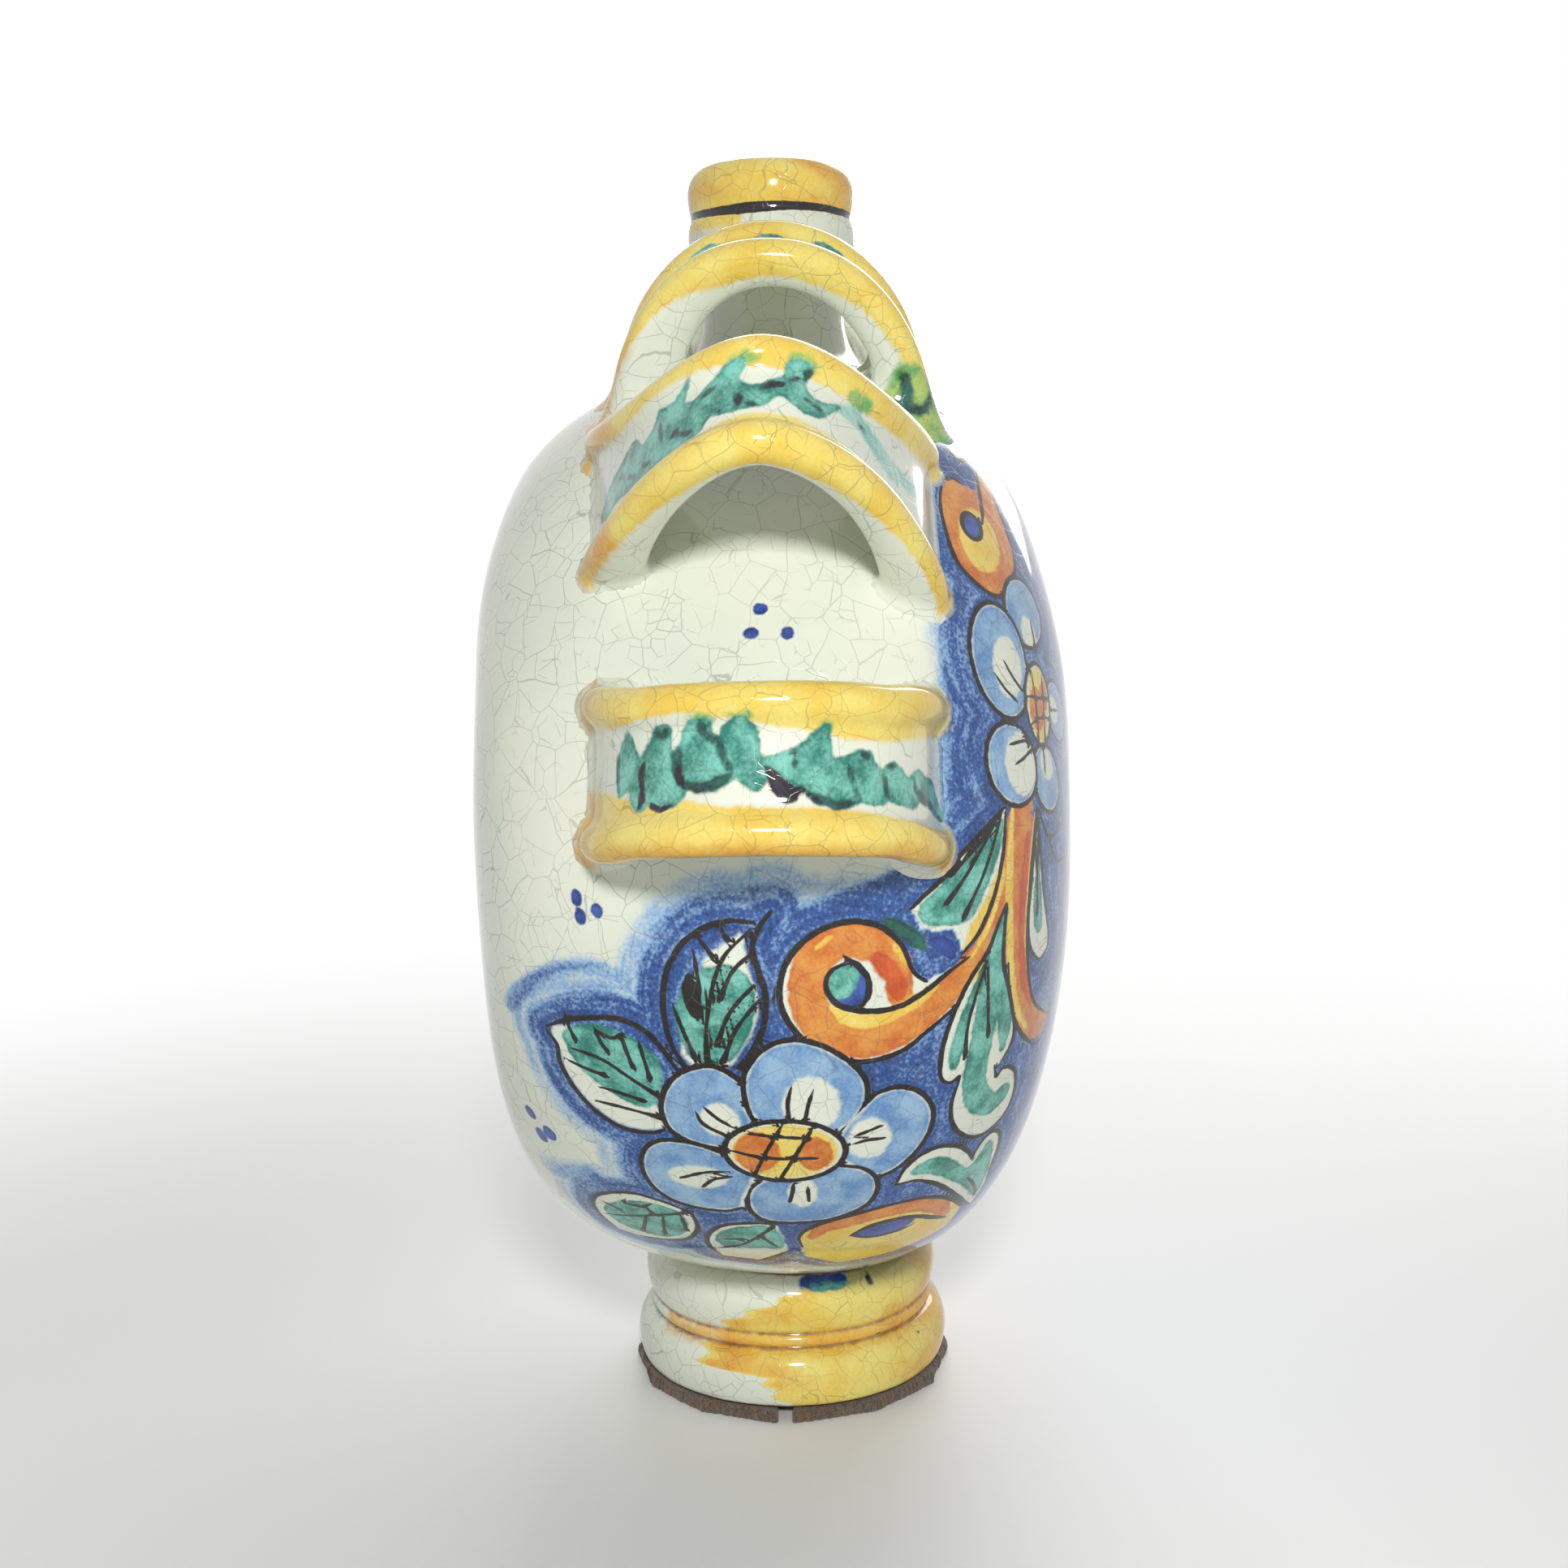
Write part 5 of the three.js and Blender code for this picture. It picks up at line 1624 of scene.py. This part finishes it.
def finish_piece(piece, node_name, material):
    piece.name = node_name + "_looks"
    piece.data.materials.clear()
    piece.data.materials.append(material)
    bpy.ops.object.select_all(action="DESELECT")
    piece.select_set(True)
    bpy.context.view_layer.objects.active = piece
    bpy.ops.object.shade_smooth_by_angle(angle=SMOOTH_ANGLE)
    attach(piece, "root")
    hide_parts(node_name)


front = bowl_piece("front_bowl_looks", FRONT, FRONT_ROWS, FRONT_FACE_STEPS)
paint_bowl(front, FRONT)
finish_piece(front, "front_bowl", glaze)
back = bowl_piece("back_bowl_looks", BACK, BACK_ROWS, BACK_FACE_STEPS)
paint_bowl(back, BACK)
finish_piece(back, "back_bowl", glaze)

for kind, loop in LOOPS.items():
    for name, side in (("right", 1), ("left", -1)):
        node_name = f"{name}_{kind}_loop"
        loop_looks = loop_piece(node_name + "_looks", loop, side)
        paint_loop(loop_looks, kind)
        finish_piece(loop_looks, node_name, glaze)

neck = neck_piece()
paint_neck(neck)
finish_piece(neck, "neck", glaze)
foot = foot_piece()
paint_foot(foot)
finish_piece(foot, "foot_ring", glaze)
for name, side in (("front_felt", -1), ("back_felt", 1)):
    pad = felt_piece(name + "_looks", side)
    finish_piece(pad, name, felt)


# Stage: pale floor, soft light and the camera. Sizes are in metres and powers in watts.
WHITE = (1, 1, 1, 1)
FLOOR_SIZE = 6.0
FLOOR_FADE = (0.14, 0.6)
WORLD_LIGHT = 0.18
KEY_LAMP = {"place": (-0.72, -0.03, 0.48), "size": 0.09, "power": 3.7}
FILL_LAMP = {"place": (0.9, -0.2, 0.7), "size": 0.8, "power": 8.0}


def seen_directly(tree):
    """1 for rays of the camera, of reflections and through glass, 0 for the light that falls on things."""
    share = node(tree, "LightPath", output="Is Camera Ray")
    for ray in ("Is Glossy Ray", "Is Transmission Ray"):
        share = node(tree, "Math", (share, node(tree, "LightPath", output=ray)), operation="MAXIMUM")
    return share


# The floor is pale and keeps the shadow, and runs out into the white background.
bpy.ops.mesh.primitive_plane_add(size=FLOOR_SIZE, location=(0, 0, 0))
floor = bpy.context.object
floor.name = "floor"
floor_material, ground = new_material("pale_floor")
place = node(ground, "TexCoord", output="Object")
distance = node(ground, "VectorMath", (place,), "Value", operation="LENGTH")
far = node(ground, "MapRange", (distance, *FLOOR_FADE), **SMOOTH)
share = node(ground, "Math", (far, seen_directly(ground)), operation="MULTIPLY")
paint = node(ground, "BsdfPrincipled", {"Base Color": srgb("#F0F0EE"), "Roughness": 0.55})
white = node(ground, "Emission", {"Color": WHITE, "Strength": 1.0})
node(ground, "OutputMaterial", {"Surface": node(ground, "MixShader", (share, paint, white))})
floor.data.materials.append(floor_material)

world = bpy.data.worlds.new("studio")
bpy.context.scene.world = world
world.use_nodes = True
sky = world.node_tree
sky.nodes.clear()
strength = node(sky, "MapRange", {"Value": seen_directly(sky), "To Min": WORLD_LIGHT, "To Max": 1.0})
light = node(sky, "Background", {"Color": WHITE, "Strength": strength})
node(sky, "OutputWorld", {"Surface": light})

AIM = Vector((0, 0, 0.165))


def area_lamp(name, place, size, power):
    bpy.ops.object.light_add(type="AREA", location=place)
    lamp = bpy.context.object
    lamp.name = name
    lamp.data.size = size
    lamp.data.energy = power
    lamp.rotation_euler = (AIM - Vector(place)).to_track_quat("-Z", "Y").to_euler()


area_lamp("key", **KEY_LAMP)
area_lamp("fill", **FILL_LAMP)

# Camera: stands 0.5 m from the middle on the loops' side, a little above the shoulder, as in the photo.
CAMERA_DISTANCE = 0.500
CAMERA_HEIGHT = 0.2293
CAMERA_PITCH = math.radians(7.73)
CAMERA_AZIMUTH = math.radians(0.5)
AIM_AZIMUTH = math.radians(0.428)
CAMERA_ROLL = math.radians(1.15)
FOCAL_PIXELS = 2300
IMAGE_PIXELS = 1932
SENSOR = 36.0

bpy.ops.object.camera_add()
camera = bpy.context.object
camera.data.sensor_width = SENSOR
camera.data.lens = SENSOR * FOCAL_PIXELS / IMAGE_PIXELS
level = math.cos(CAMERA_PITCH)
forward = Vector((math.cos(AIM_AZIMUTH) * level, math.sin(AIM_AZIMUTH) * level, -math.sin(CAMERA_PITCH)))
right = Vector((math.sin(AIM_AZIMUTH), -math.cos(AIM_AZIMUTH), 0))
upward = right.cross(forward)
rolled_right = math.cos(CAMERA_ROLL) * right - math.sin(CAMERA_ROLL) * upward
rolled_up = math.sin(CAMERA_ROLL) * right + math.cos(CAMERA_ROLL) * upward
turn = Matrix((rolled_right, rolled_up, -forward)).transposed().to_4x4()
eye = -CAMERA_DISTANCE * Vector((math.cos(CAMERA_AZIMUTH), math.sin(CAMERA_AZIMUTH), 0))
eye.z = CAMERA_HEIGHT
camera.matrix_world = Matrix.Translation(eye) @ turn
bpy.context.scene.camera = camera
bpy.context.scene.view_settings.view_transform = "Standard"
